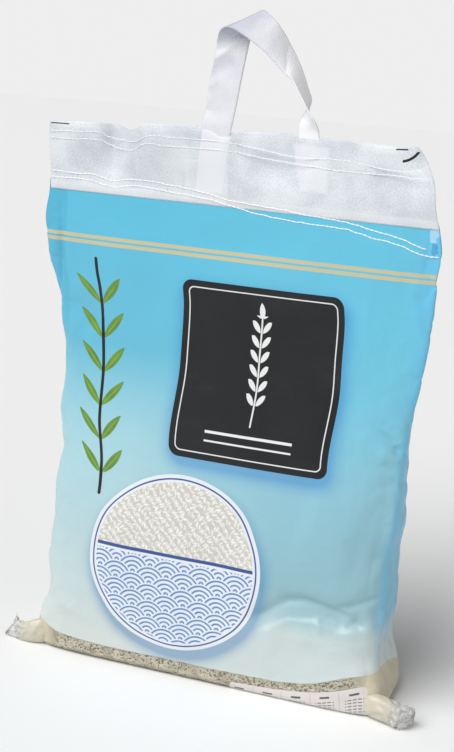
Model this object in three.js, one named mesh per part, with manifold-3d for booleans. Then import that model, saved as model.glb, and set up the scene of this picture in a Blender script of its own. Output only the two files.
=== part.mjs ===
// A filled rice sack that stands on its own flat base, in millimetres.
// +Z is up, the shown front faces -Y, and the origin is the centre of the bounding box's bottom.
// The sack is a bag of printed film with an ear at each end of its bottom seam. A white header band
// of two sewn layers closes its mouth, and holds both ends of a folded webbing handle.

import * as THREE from "three";
import { mergeVertices } from "three/addons/utils/BufferGeometryUtils.js";
import Module from "manifold-3d";

const wasm = await Module();
wasm.setup();

// Driving sizes of the film bag. A profile is a list of [height, value] pairs, read by profileAt.
const SEAM_HEIGHT = 430; // where the film goes up into the header band
const TONGUE_HEIGHT = 440; // top of the film inside the band
const TONGUE_HALF = 0.5; // half the thickness of the two flattened sheets of film
const BASE_ROUND = 6; // radius of the rim that the sack stands on
const LEFT_EDGE = [[0, 166], [28, 168], [60, 157.5], [92, 162], [130, 159.5], [165, 159], [197, 154.5],
  [230, 157.5], [276, 155], [310, 160], [343, 165.5], [364, 173], [405, 177.5], [430, 174.6], [440, 174]];
const RIGHT_EDGE = [[0, 171], [20, 171], [40, 165.5], [57, 162], [90, 165.5], [148, 166], [171, 171],
  [193, 170], [225, 168], [259, 170], [302, 175], [344, 179], [385, 182], [410, 183.5], [430, 179.5],
  [440, 176]];
const FRONT_DEPTH = [[0, 44], [45, 47], [95, 48], [140, 45], [190, 38], [240, 29], [290, 19], [340, 11],
  [390, 5], [420, 1.6], [430, TONGUE_HALF], [440, TONGUE_HALF]];
const BACK_DEPTH = [[0, 43], [45, 46], [95, 47], [140, 43], [190, 36], [240, 27], [290, 17], [340, 9],
  [390, 4], [420, 1.5], [430, TONGUE_HALF], [440, TONGUE_HALF]];
const SECTION_POWER = [[0, 9], [35, 7], [80, 4.8], [150, 3.5], [250, 2.7], [340, 2.2], [440, 2]];
const SECTION_STEPS = 200; // for measuring along a cross-section
const SACK_SPANS = 30; // faces across the front, and as many across the back
const SACK_STEP = 12.5; // height of a row of faces, about

// Folds of the film, each a ridge or, with a negative height, a furrow from one [x, z] to another.
const FRONT_FOLDS = [
  { from: [86, 186], to: [148, 172], height: 4.4, width: 42 },
  { from: [60, 78], to: [96, 98], height: -2.2, width: 9 },
  { from: [96, 98], to: [168, 102], height: -3.6, width: 9 },
  { from: [80, 72], to: [158, 74], height: 2.6, width: 13 },
  { from: [118, 40], to: [160, 46], height: -1.8, width: 10 },
  { from: [118, 252], to: [170, 240], height: -3.4, width: 9 },
  { from: [-164, 415], to: [-160, 300], height: -2.4, width: 8 },
  { from: [-158, 316], to: [-120, 268], height: -2.6, width: 14 },
  { from: [-150, 150], to: [-96, 196], height: 2.2, width: 16 },
  { from: [154, 190], to: [160, 108], height: 2.4, width: 9 },
  { from: [60, 330], to: [140, 300], height: 1.8, width: 16 },
];
const BACK_FOLDS = [
  { from: [-150, 104], to: [-70, 90], height: 3, width: 10 },
  { from: [40, 240], to: [160, 262], height: -3, width: 12 },
  { from: [-160, 250], to: [-90, 272], height: -2.6, width: 12 },
  { from: [20, 60], to: [120, 84], height: 2.6, width: 12 },
];

// The header band: two layers with the handle's ends and the film's mouth between them.
const BAND_LEFT = -173.4;
const BAND_RIGHT = 179;
const BAND_HALF = 1.8;
const BAND_COLUMNS = 66;
const BAND_ROWS = 8;
const BAND_TOP = [[-175, 489.5], [-146, 491.4], [-123, 492], [-107, 489.6], [-90, 488.4], [-82, 491.5],
  [-74, 495.6], [-40, 496.2], [-10, 496], [-3, 491.5], [20, 495], [112, 495.8], [124, 495.2], [134, 493.6],
  [148, 492.6], [162, 493.1], [179, 494.7]];
const BAND_CORNER = [[430, 179], [445, 175], [464, 171], [474, 166.5], [483, 162], [492, 156], [496, 152]];
// Waves of the band, each a ridge towards the front or, with a negative reach, a hollow.
const BAND_WAVES = [
  { at: -146, reach: 2, width: 16 },
  { at: -110, reach: -8, width: 13 },
  { at: -74, reach: 5.5, width: 26 },
  { at: 40, reach: -3.5, width: 20 },
  { at: 92, reach: 3.5, width: 24 },
  { at: 168, reach: -9, width: 26 },
];
const BAND_STEP = { at: -2.5, reach: 5.5, width: 3 }; // the crease beside the handle's left leg
const WAVES_FROM = 441; // the band is flat below this height, and waves fully at its top
const WAVES_FULL = 486;
const CLEARANCE = 0.35; // between pieces that are sewn together

// The webbing handle as pairs of points [x, y, z], one on each edge of the webbing. It goes up from
// inside the band, folds over towards the front, drops to the right, and turns its other face on the way.
// Below BAND_ENTRY its depth is the band's own.
const WEB_HALF = 0.7; // half its thickness
const WEB_SPANS = 6; // faces across its width
const WEB_STATIONS = [
  { outer: [-36.2, 0, 444], inner: [-11.4, 0, 441] },
  { outer: [-30, 0, 495], inner: [-4.8, 0, 492] },
  { outer: [-27, 0, 523], inner: [-0.4, 0, 520] },
  { outer: [-23.4, 1, 550], inner: [4, 0, 547] },
  { outer: [-21.4, 2, 562], inner: [7.2, 1, 566] },
  { outer: [-20.8, 0.5, 569], inner: [9.5, 2, 577] },
  { outer: [-17, -4, 576], inner: [12, 0, 586.5] },
  { outer: [-11, -8.5, 579.5], inner: [16, -3, 592.5] },
  { outer: [-3, -11, 579], inner: [22, -6, 594.8] },
  { outer: [9.5, -12, 573], inner: [30, -8, 590] },
  { outer: [24.5, -11, 563], inner: [37.5, -7, 582] },
  { outer: [37, -9.5, 551.5], inner: [43.5, 3, 567.5] },
  { outer: [48.5, -8.5, 542], inner: [50.5, 9, 551] },
  { outer: [55.6, -8, 531], inner: [56.2, 13, 534] },
  { outer: [62, -8, 520.5], inner: [59.5, 14, 522] },
  { outer: [69, -6.5, 510], inner: [55, 9, 511] },
  { outer: [72, -1, 497], inner: [53.5, 1, 497] },
  { outer: [73, 0, 484], inner: [56, 0, 484] },
  { outer: [78, 0, 445], inner: [61, 0, 445] },
];
const HANDLE_ROWS = 54;
const BAND_ENTRY = 498; // below this height the webbing's depth is the band's own

// Rows of stitching on the band's front, as [x, height] pairs, from the top one down.
const THREAD_HALF = 0.4;
const THREAD_LIFT = 0.6; // between the thread and what it lies on
const STITCH_ROWS = {
  stitch_row_1: [[-172, 481.2], [-150, 482.5], [-126, 483.2], [-118, 480.4], [-106, 478.6], [-90, 479],
    [-80, 484], [-71, 486.2], [-55, 485.6], [-10, 485.2], [20, 482], [56, 478.2], [94, 479.2], [108, 478.2],
    [120, 476], [132, 474.9], [148, 474.9], [158, 476.9], [164, 478.8]],
  stitch_row_2: [[-172, 475.2], [-150, 476.2], [-126, 476.8], [-118, 474], [-106, 470.8], [-92, 471.6],
    [-83, 477], [-74, 479], [-60, 477.8], [-13, 478.2], [20, 475.2], [56, 472.2], [96, 470.4], [120, 470.3],
    [134, 470.9], [148, 470.4], [157, 470], [167, 472.5]],
  stitch_row_3: [[-171, 446], [-148, 445.7], [-130, 446], [-118, 442.8], [-110, 442.2], [-100, 444.6],
    [-84, 445.6], [-59, 443.9], [-23, 439.9], [-6, 436.3], [10, 434.9], [42, 433], [66, 430.5], [84, 429.6],
    [100, 428.2], [124, 424], [149, 419.4], [161, 415.4], [173, 412.8]],
  stitch_row_4: [[-172, 440.5], [-150, 441], [-132, 440.4], [-118, 437.3], [-110, 436.7], [-100, 439],
    [-86, 440], [-59, 437.9], [-23, 435.1], [-8, 432.6], [12, 428.6], [25, 426.6], [66, 423.5], [84, 423.2],
    [103, 422], [120, 418.8], [149, 414], [161, 409.8], [170, 408], [178, 407.6]],
};

// The ears: the ends of the bottom seam, squeezed out beside the base. A station is a centre, half the
// height, half the thickness, how deep its end is notched, and how far its upper tip stays behind.
const LEFT_EAR = [
  { centre: [-140, -24, 13], tall: 7, thick: 7, notch: 0, slant: 0 },
  { centre: [-158, -33, 13.4], tall: 12.6, thick: 8.5, notch: 0, slant: 0 },
  { centre: [-168, -38, 12.4], tall: 11.6, thick: 6, notch: 0, slant: 0 },
  { centre: [-176, -39, 10.6], tall: 10, thick: 4.4, notch: 0, slant: 0 },
  { centre: [-183, -39, 10], tall: 9.4, thick: 3.2, notch: 0, slant: 1 },
  { centre: [-190, -38, 10.6], tall: 10, thick: 2.2, notch: 1, slant: 3 },
  { centre: [-201, -36.5, 12.8], tall: 12.2, thick: 1.2, notch: 3, slant: 13 },
];
const RIGHT_EAR = [
  { centre: [142, -24, 12], tall: 9, thick: 8, notch: 0, slant: 0 },
  { centre: [160, -34, 12.4], tall: 11.8, thick: 10, notch: 0, slant: 0 },
  { centre: [170, -38, 12], tall: 11.5, thick: 9, notch: 0, slant: 0 },
  { centre: [180, -41.5, 11.8], tall: 11.3, thick: 8.6, notch: 0, slant: 0 },
  { centre: [188, -44, 11.4], tall: 11, thick: 7.6, notch: 0, slant: 0 },
  { centre: [195, -43, 11.2], tall: 10.4, thick: 6.4, notch: 0, slant: 0 },
  { centre: [201, -38, 10.6], tall: 6.6, thick: 4.4, notch: 0, slant: 0 },
];
const EAR_SIDES = 14;

const RADIANS = Math.PI / 180;

const smooth = (t) => {
  const c = Math.min(1, Math.max(0, t));
  return c * c * (3 - 2 * c);
};

// The value of a profile at h, on a smooth curve through its pairs (cubic Hermite, Catmull-Rom slopes).
function profileAt(pairs, h) {
  const last = pairs.length - 1;
  if (h <= pairs[0][0]) return pairs[0][1];
  if (h >= pairs[last][0]) return pairs[last][1];
  let i = 0;
  while (pairs[i + 1][0] < h) i++;
  const slope = (k) => {
    const a = pairs[Math.max(0, k - 1)];
    const b = pairs[Math.min(last, k + 1)];
    return (b[1] - a[1]) / (b[0] - a[0]);
  };
  const [h0, v0] = pairs[i];
  const [h1, v1] = pairs[i + 1];
  const span = h1 - h0;
  const t = (h - h0) / span;
  const eased = t * t * (3 - 2 * t);
  const bow = slope(i) * t * (1 - t) * (1 - t) - slope(i + 1) * t * t * (1 - t);
  return v0 * (1 - eased) + v1 * eased + span * bow;
}

// The value of a profile at h on straight lines between its pairs.
function linearAt(pairs, h) {
  let i = 0;
  while (i < pairs.length - 2 && pairs[i + 1][0] < h) i++;
  const [h0, v0] = pairs[i];
  const [h1, v1] = pairs[i + 1];
  return v0 + ((v1 - v0) * (h - h0)) / (h1 - h0);
}

// A closed geometry from rings of points of equal count, with a fan over each end.
function closedLoft(rings) {
  const sides = rings[0].length;
  const middle = (ring) =>
    ring.reduce((sum, p) => sum.map((v, i) => v + p[i] / sides), [0, 0, 0]);
  const points = [...rings.flat(), middle(rings[0]), middle(rings[rings.length - 1])];
  const faces = [];
  for (let r = 0; r + 1 < rings.length; r++)
    for (let s = 0; s < sides; s++) {
      const a = r * sides + s;
      const b = r * sides + ((s + 1) % sides);
      faces.push(a, b, b + sides, a, b + sides, a + sides);
    }
  const first = rings.length * sides;
  const top = (rings.length - 1) * sides;
  for (let s = 0; s < sides; s++) {
    const next = (s + 1) % sides;
    faces.push(first, next, s, first + 1, top + s, top + next);
  }
  return new THREE.BufferGeometry()
    .setAttribute("position", new THREE.BufferAttribute(new Float32Array(points.flat()), 3))
    .setIndex(faces);
}

// A plate that follows surface(u, v), with u and v from 0 to 1, and reaches half to each side of it.
function plate(surface, columns, rows, half) {
  const small = 1e-4;
  const at = (u, v) => new THREE.Vector3(...surface(u, v));
  const side = (u, v, sign) => {
    const alongU = at(u + small, v).sub(at(u - small, v));
    const alongV = at(u, v + small).sub(at(u, v - small));
    return at(u, v).addScaledVector(alongU.cross(alongV).normalize(), sign * half).toArray();
  };
  const rings = [];
  for (let j = 0; j <= rows; j++) {
    const front = Array.from({ length: columns + 1 }, (_, i) => side(i / columns, j / rows, 1));
    const back = Array.from({ length: columns + 1 }, (_, i) => side(1 - i / columns, j / rows, -1));
    rings.push([...front, ...back]);
  }
  return closedLoft(rings);
}

function toSolid(geometry) {
  const merged = mergeVertices(geometry, 1e-4);
  return new wasm.Manifold(
    new wasm.Mesh({
      numProp: 3,
      vertProperties: merged.attributes.position.array,
      triVerts: new Uint32Array(merged.index.array),
    }),
  );
}

function toGeometry(solid) {
  const { vertProperties, triVerts, numProp, numVert } = solid.getMesh();
  const points = new Float32Array(numVert * 3);
  for (let i = 0; i < numVert; i++) points.set(vertProperties.subarray(i * numProp, i * numProp + 3), i * 3);
  return new THREE.BufferGeometry()
    .setAttribute("position", new THREE.BufferAttribute(points, 3))
    .setIndex(new THREE.BufferAttribute(triVerts, 1));
}

// How far the folds lift the film at [x, z]: each is a bell across its line that fades at both ends. All
// of them fade out at the base, at the seam and at the side edges.
function foldsAt(x, z, front) {
  const edge = profileAt(x < 0 ? LEFT_EDGE : RIGHT_EDGE, z);
  let lift = 0;
  for (const { from, to, height, width } of front ? FRONT_FOLDS : BACK_FOLDS) {
    const along = [to[0] - from[0], to[1] - from[1]];
    const length = along[0] ** 2 + along[1] ** 2;
    const t = ((x - from[0]) * along[0] + (z - from[1]) * along[1]) / length;
    const c = Math.min(1, Math.max(0, t));
    const away = Math.hypot(x - from[0] - c * along[0], z - from[1] - c * along[1]);
    lift += height * Math.exp(-((away / width) ** 2));
  }
  return lift * smooth(z / 30) * smooth((SEAM_HEIGHT - z) / 30) * smooth((edge - Math.abs(x)) / 14);
}

// How far the film stands before or behind y = 0 at [x, z]. The cross-section is a superellipse whose
// corners get squarer towards the base.
function filmReach(x, z, front, inset = 0) {
  const edge = profileAt(x < 0 ? LEFT_EDGE : RIGHT_EDGE, z) - inset;
  const depth = profileAt(front ? FRONT_DEPTH : BACK_DEPTH, z) - inset;
  const power = profileAt(SECTION_POWER, z);
  const crown = (1 - Math.min(1, Math.abs(x / edge)) ** power) ** (1 / power);
  return depth * crown + foldsAt(x, z, front);
}

// Half a cross-section, front or back, as evenly spaced points [x, y, z] from the left edge to the right.
function halfSection(z, front, inset) {
  const power = 2 / profileAt(SECTION_POWER, z);
  const turned = Array.from({ length: SECTION_STEPS + 1 }, (_, i) => {
    const angle = (Math.PI * i) / SECTION_STEPS;
    const x = -Math.sign(Math.cos(angle)) * Math.abs(Math.cos(angle)) ** power;
    const edge = profileAt(x < 0 ? LEFT_EDGE : RIGHT_EDGE, z) - inset;
    const reach = i % SECTION_STEPS === 0 ? 0 : filmReach(0, z, front, inset) * Math.sin(angle) ** power;
    return [x * edge, reach];
  });
  const lengths = [[0, 0]];
  for (let i = 1; i < turned.length; i++) {
    const step = Math.hypot(turned[i][0] - turned[i - 1][0], turned[i][1] - turned[i - 1][1]);
    lengths.push([lengths[i - 1][0] + step, i]);
  }
  return Array.from({ length: SACK_SPANS + 1 }, (_, k) => {
    const place = linearAt(lengths, (lengths[SECTION_STEPS][0] * k) / SACK_SPANS);
    const [x, reach] = [0, 1].map((axis) => linearAt(turned.map((p, i) => [i, p[axis]]), place));
    return [x, (front ? -1 : 1) * (reach + foldsAt(x, z, front) * (reach > 0 ? 1 : 0)), z];
  });
}

function sackRing(z, inset = 0) {
  const front = halfSection(z, true, inset);
  const back = halfSection(z, false, inset).reverse();
  return [...front.slice(0, -1), ...back.slice(0, -1)];
}

function sackBody() {
  const rings = [];
  for (const angle of [0, 30, 60]) {
    const ring = sackRing(0, BASE_ROUND * (1 - Math.sin(angle * RADIANS)));
    const height = BASE_ROUND * (1 - Math.cos(angle * RADIANS));
    rings.push(ring.map(([x, y]) => [x, y, height]));
  }
  const rows = Math.round((SEAM_HEIGHT - BASE_ROUND) / SACK_STEP);
  for (let r = 0; r <= rows; r++) rings.push(sackRing(BASE_ROUND + ((SEAM_HEIGHT - BASE_ROUND) * r) / rows));
  rings.push(sackRing(SEAM_HEIGHT + 4), sackRing(TONGUE_HEIGHT));
  return closedLoft(rings);
}

// An ear is lofted through its stations. The notch draws the middle of an end back between its two tips,
// and the slant draws back the upper one.
function ear(stations) {
  const rings = stations.map(({ centre, tall, thick, notch, slant }) => {
    const towards = Math.sign(centre[0]);
    return Array.from({ length: EAR_SIDES }, (_, i) => {
      const angle = (towards * i * 2 * Math.PI) / EAR_SIDES;
      const up = Math.sin(angle);
      const drawn = notch * (1 - Math.abs(up)) + (slant * (1 + up)) / 2;
      return [centre[0] - towards * drawn, centre[1] + thick * Math.cos(angle), centre[2] + tall * up];
    });
  });
  return closedLoft(rings);
}

// Depth of the header band's middle at [x, z].
function bandDepth(x, z) {
  const share = smooth((z - WAVES_FROM) / (WAVES_FULL - WAVES_FROM));
  let reach = BAND_STEP.reach * (1 / (1 + Math.exp((x - BAND_STEP.at) / BAND_STEP.width)) - 0.5);
  for (const { at, reach: most, width } of BAND_WAVES) reach += most * Math.exp(-(((x - at) / width) ** 2));
  return -share * reach;
}

function bandPoint(u, v) {
  const wide = BAND_LEFT + u * (BAND_RIGHT - BAND_LEFT);
  const z = SEAM_HEIGHT + v * (profileAt(BAND_TOP, wide) - SEAM_HEIGHT);
  const squeeze = (profileAt(BAND_CORNER, z) - BAND_LEFT) / (BAND_RIGHT - BAND_LEFT);
  const x = BAND_LEFT + (wide - BAND_LEFT) * squeeze;
  return [x, bandDepth(x, z), z];
}

// A point of the webbing. t counts stations, and u runs from 0 at the outer edge to 1 at the inner one.
function webPoint(u, t) {
  const [x, y, z] = [0, 1, 2].map((axis) => {
    const edge = (side) => profileAt(WEB_STATIONS.map((station, i) => [i, station[side][axis]]), t);
    return edge("outer") * (1 - u) + edge("inner") * u;
  });
  const inside = smooth((BAND_ENTRY + 14 - z) / 14);
  return [x, y + inside * (bandDepth(x, Math.min(z, BAND_ENTRY)) - y), z];
}

// The ends stay a little short of their pockets' ends.
const WEB_END = 0.03;
const handlePoint = (u, v) => webPoint(u, WEB_END + v * (WEB_STATIONS.length - 1 - 2 * WEB_END));

// The hollows between the band's layers for the handle's ends, a clearance larger all round. Each reaches
// some stations in from the handle's end, where the webbing is about that wide.
const LEFT_END = { stations: 1.35, width: 25 };
const RIGHT_END = { stations: 2.4, width: 17 };
const spared = (u, width) => u + ((2 * u - 1) * CLEARANCE) / width;
const leftPocket = (u, v) => webPoint(spared(u, LEFT_END.width), LEFT_END.stations * v);
const rightPocket = (u, v) =>
  webPoint(spared(u, RIGHT_END.width), WEB_STATIONS.length - 1 - RIGHT_END.stations * (1 - v));
const pocket = (surface) => toSolid(plate(surface, WEB_SPANS, 12, WEB_HALF + CLEARANCE));

// The hollow for the film's mouth at the bottom of the band.
function mouthHollow() {
  const depth = TONGUE_HEIGHT + CLEARANCE - SEAM_HEIGHT + 2;
  const width = BAND_RIGHT - BAND_LEFT + 20;
  return toSolid(
    new THREE.BoxGeometry(width, 2 * (TONGUE_HALF + CLEARANCE), depth)
      .translate(0, 0, SEAM_HEIGHT - 2 + depth / 2)
      .deleteAttribute("normal")
      .deleteAttribute("uv"),
  );
}

function bandSolid() {
  const slab = toSolid(plate(bandPoint, BAND_COLUMNS, BAND_ROWS, BAND_HALF));
  return slab.subtract(pocket(leftPocket)).subtract(pocket(rightPocket)).subtract(mouthHollow());
}

// A thread of square section that lies on the band's front, or on the film's where the row runs off it.
// Its rings stand at the band's own columns.
function thread(row) {
  const columns = Array.from({ length: BAND_COLUMNS + 1 }, (_, i) =>
    BAND_LEFT + (i * (BAND_RIGHT - BAND_LEFT)) / BAND_COLUMNS);
  const rings = columns.filter((x) => x >= row[0][0] && x <= row[row.length - 1][0]).map((x) => {
    const z = profileAt(row, x);
    const bandFront = z > SEAM_HEIGHT - 3 ? bandDepth(x, z) - BAND_HALF : 0;
    const middle = Math.min(bandFront, -filmReach(x, z, true)) - THREAD_LIFT - THREAD_HALF;
    const corners = [[-1, -1], [1, -1], [1, 1], [-1, 1]];
    return corners.map(([a, b]) => [x, middle + a * THREAD_HALF, z + b * THREAD_HALF]);
  });
  return closedLoft(rings);
}

function named(name, geometry, colour, roughness) {
  const material = new THREE.MeshStandardMaterial({ color: colour, roughness, metalness: 0 });
  const mesh = new THREE.Mesh(geometry, material);
  mesh.name = name;
  return mesh;
}

const sack = toSolid(sackBody()).add(toSolid(ear(LEFT_EAR))).add(toSolid(ear(RIGHT_EAR)));

const riceSack = new THREE.Group();
riceSack.add(named("sack_film", toGeometry(sack), 0x7cc9e2, 0.4));
riceSack.add(named("header_band", toGeometry(bandSolid()), 0xe3e6ea, 0.6));
riceSack.add(named("webbing_handle", plate(handlePoint, WEB_SPANS, HANDLE_ROWS, WEB_HALF), 0xe6e8ee, 0.7));
for (const [name, row] of Object.entries(STITCH_ROWS)) riceSack.add(named(name, thread(row), 0xf2f4f6, 0.8));

export default riceSack;
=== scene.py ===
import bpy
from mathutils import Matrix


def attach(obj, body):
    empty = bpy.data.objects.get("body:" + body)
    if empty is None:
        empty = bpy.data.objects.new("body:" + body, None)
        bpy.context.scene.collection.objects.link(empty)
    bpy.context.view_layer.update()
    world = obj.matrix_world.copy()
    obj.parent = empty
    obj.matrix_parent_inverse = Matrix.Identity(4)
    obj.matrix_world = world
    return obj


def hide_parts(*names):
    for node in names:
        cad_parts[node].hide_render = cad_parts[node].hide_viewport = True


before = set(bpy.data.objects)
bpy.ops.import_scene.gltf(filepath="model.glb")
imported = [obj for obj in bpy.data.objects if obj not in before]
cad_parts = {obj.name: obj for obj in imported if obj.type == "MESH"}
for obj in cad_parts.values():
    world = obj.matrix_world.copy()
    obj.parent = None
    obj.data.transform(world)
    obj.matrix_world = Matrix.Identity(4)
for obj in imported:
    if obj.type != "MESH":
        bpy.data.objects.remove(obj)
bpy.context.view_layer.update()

import bpy
import functools
import math
import numpy as np
from mathutils import Matrix, Vector

bl_info = {
    "name": "Filled rice sack",
    "version": (1, 0, 0),
    "blender": (4, 5, 0),
    "location": "View3D > Sidebar > Rice sack",
    "description": "Printed film bag of rice with a sewn header band and a webbing handle",
    "category": "Add Mesh",
}

MM = 0.001

# The film bag's shape in millimetres: [height, value] pairs, read by profile, as the solids have them.
SEAM_HEIGHT = 430
TONGUE_HEIGHT = 439
TONGUE_HALF = 0.5
BASE_ROUND = 6
LEFT_EDGE = [[0, 166], [28, 168], [60, 157.5], [92, 162], [130, 159.5], [165, 159], [197, 154.5],
             [230, 157.5], [276, 155], [310, 160], [343, 165.5], [364, 173], [405, 177.5], [430, 174.6],
             [440, 174]]
RIGHT_EDGE = [[0, 171], [20, 171], [40, 165.5], [57, 162], [90, 165.5], [148, 166], [171, 171], [193, 170],
              [225, 168], [259, 170], [302, 175], [344, 179], [385, 182], [410, 183.5], [430, 179.5],
              [440, 176]]
FRONT_DEPTH = [[0, 44], [45, 47], [95, 48], [140, 45], [190, 38], [240, 29], [290, 19], [340, 11],
               [390, 5], [420, 1.6], [430, TONGUE_HALF], [440, TONGUE_HALF]]
BACK_DEPTH = [[0, 43], [45, 46], [95, 47], [140, 43], [190, 36], [240, 27], [290, 17], [340, 9],
              [390, 4], [420, 1.5], [430, TONGUE_HALF], [440, TONGUE_HALF]]
SECTION_POWER = [[0, 9], [35, 7], [80, 4.8], [150, 3.5], [250, 2.7], [340, 2.2], [440, 2]]
FILM_COLUMNS = 200  # across the front, and as many across the back
FILM_STEP = 2.1  # height of a row
FILM_SPAN = 2.15  # width of a column, about

# Creases of the film: the [x, z] points they run through, height (negative for a furrow), width and how
# sharp they are.
FRONT_CREASES = [
    ([[86, 186], [148, 172]], 4.6, 42, 0),
    ([[44, 72], [62, 84], [83, 100], [104, 101]], -3.6, 6, 0.7),
    ([[92, 96], [120, 92], [148, 90], [164, 96]], -2.4, 9, 0),
    ([[83, 100], [95, 103], [107, 101], [117, 99], [131, 95], [143, 89]], -3.0, 4.0, 0.9),
    ([[124, 99], [140, 104], [152, 109], [160, 111], [172, 110]], -2.8, 3.6, 0.9),
    ([[138, 83], [143, 88], [150, 82]], -2.4, 3.0, 0.9),
    ([[110, 92], [112, 84], [116, 74]], 1.6, 3.0, 0.8),
    ([[114, 92], [128, 88], [136, 82]], -1.6, 3.0, 0.8),
    ([[159, 106], [162, 90], [165, 64], [168, 48]], -1.8, 3.0, 0.9),
    ([[150, 104], [156, 84], [163, 60]], 1.2, 4, 0.6),
    ([[166, 58], [174, 30]], 1.2, 3, 0.8),
    ([[118, 40], [160, 47]], -0.9, 10, 0.1),
    ([[80, 70], [156, 72]], 2.2, 13, 0),
    ([[167, 222], [164, 156], [163, 112]], 1.2, 4, 0.5),
    ([[158, 226], [157, 160], [155, 118]], -0.9, 7, 0.3),
    ([[144, 260], [154, 250], [171, 234]], -3.2, 4, 0.8),
    ([[148, 242], [166, 228]], 1.8, 4, 0.6),
    ([[146, 266], [162, 256]], -1.7, 3, 0.8),
    ([[154, 244], [172, 250]], 1.4, 2.6, 0.8),
    ([[150, 232], [160, 221]], -1.3, 3, 0.8),
    ([[-164, 431], [-161, 384], [-163, 328], [-158, 291]], -2.6, 2.4, 0.9),
    ([[-170, 410], [-163, 409]], -1.0, 2, 0.9),
    ([[-156, 332], [-117, 308]], -2.2, 14, 0.1),
    ([[-150, 354], [-108, 340]], 1.2, 12, 0.2),
    ([[-150, 150], [-104, 196]], 1.3, 16, 0.2),
    ([[-152, 240], [-146, 170]], -1.2, 9, 0.3),
    ([[-147, 78], [-143, 62], [-134, 50], [-116, 43]], 1.6, 7, 0.4),
    ([[-156, 70], [-157, 40]], -1.2, 6, 0.4),
    ([[60, 330], [140, 300]], 1.2, 18, 0.1),
    ([[-40, 404], [40, 398]], -0.9, 16, 0.1),
    ([[172, 430], [171, 392]], -1.4, 2.4, 0.9),
    ([[160, 386], [172, 340]], 1.1, 5, 0.5),
]
BACK_CREASES = [
    ([[-150, 104], [-70, 90]], 2.8, 10, 0.5),
    ([[-166, 84], [-96, 74]], -3.2, 6, 0.8),
    ([[40, 240], [160, 262]], -2.6, 10, 0.6),
    ([[60, 230], [156, 236]], 1.8, 8, 0.5),
    ([[-160, 250], [-90, 272]], -2.4, 10, 0.6),
    ([[20, 60], [120, 84]], 2.4, 12, 0.4),
    ([[-20, 330], [60, 352]], 1.2, 16, 0.3),
    ([[160, 420], [156, 320]], -1.2, 2.6, 0.9),
]
# Ledges, where the film below a line stands out: its [x, z] points, height, and reach downwards.
FRONT_LEDGES = [
    ([[46, 58], [62, 70], [84, 84], [108, 86], [131, 80], [160, 86]], 2.6, 26),
]

# The header band, in millimetres. At the seam its half thickness is only a share of the full one, which it
# reaches a little above.
BAND_LEFT = -173.4
BAND_RIGHT = 179
SHEET_HALF = 1.35
LOWER_SHARE = 0.46
LOWER_REACH = 5
BAND_TOP = [[-175, 489.5], [-146, 491.4], [-123, 492], [-107, 489.6], [-90, 488.4], [-82, 491.5],
            [-74, 495.6], [-40, 496.2], [-10, 496], [-3, 491.5], [20, 495], [112, 495.8], [124, 495.2],
            [134, 493.6], [148, 492.6], [162, 493.1], [179, 494.7]]
BAND_CORNER = [[430, 179], [445, 175], [464, 171], [474, 166.5], [483, 162], [492, 156], [496, 152]]

# Its waves to and fro: the middle, height and width of each, a step across it, and where they begin and are
# full. Then its creases, as the film's are given.
BAND_WAVES = [(-146, 2, 16), (-110, -8, 13), (-74, 5.5, 26), (40, -3.5, 20), (92, 3.5, 24), (168, -9, 26)]
BAND_STEP = (-2.5, 5.5, 3)
WAVES_FROM = 441
WAVES_FULL = 486
BAND_CREASES = [([[-118, 492], [-113, 440]], -1.8, 6, 0.4), ([[-98, 490], [-96, 446]], 1.2, 7, 0.3)]
BAND_CELL = (1.5, 1.2)  # height of a row of its grid and width of a column, about
PUFF = (34, 0.24)  # wavelength and height of its soft unevenness
PUCKER = (1.6, 0.22, 0.10)  # width and depth along a row of stitches, and how it varies with each stitch

# The webbing's two edges at each station, in millimetres.
WEB_HALF = 0.7
BAND_ENTRY = 498
WEB_OUTER = [[-36.2, 0, 444], [-30, 0, 495], [-27, 0, 523], [-23.4, 1, 550], [-21.4, 2, 562],
             [-20.8, 0.5, 569], [-17, -4, 576], [-11, -8.5, 579.5], [-3, -11, 579], [9.5, -12, 573],
             [24.5, -11, 563], [37, -9.5, 551.5], [48.5, -8.5, 542], [55.6, -8, 531], [62, -8, 520.5],
             [69, -6.5, 510], [72, -1, 497], [73, 0, 484], [78, 0, 445]]
WEB_INNER = [[-11.4, 0, 441], [-4.8, 0, 492], [-0.4, 0, 520], [4, 0, 547], [7.2, 1, 566], [9.5, 2, 577],
             [12, 0, 586.5], [16, -3, 592.5], [22, -6, 594.8], [30, -8, 590], [37.5, -7, 582],
             [43.5, 3, 567.5], [50.5, 9, 551], [56.2, 13, 534], [59.5, 14, 522], [55, 9, 511],
             [53.5, 1, 497], [56, 0, 484], [61, 0, 445]]

# Creases of the webbing, as of the film: the points are across it and along it.
WEB_CREASES = [
    ([[-2, 107], [13, 121], [30, 130]], 1.3, 4, 0.6),
    ([[-2, 100], [14, 114]], -0.9, 5, 0.4),
    ([[-2, 84], [8, 92]], 0.8, 4, 0.5),
    ([[27, 159], [14, 163], [2, 168]], 0.8, 6, 0.5),
    ([[23, 194], [-2, 210]], 1.0, 3.5, 0.7),
]

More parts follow.
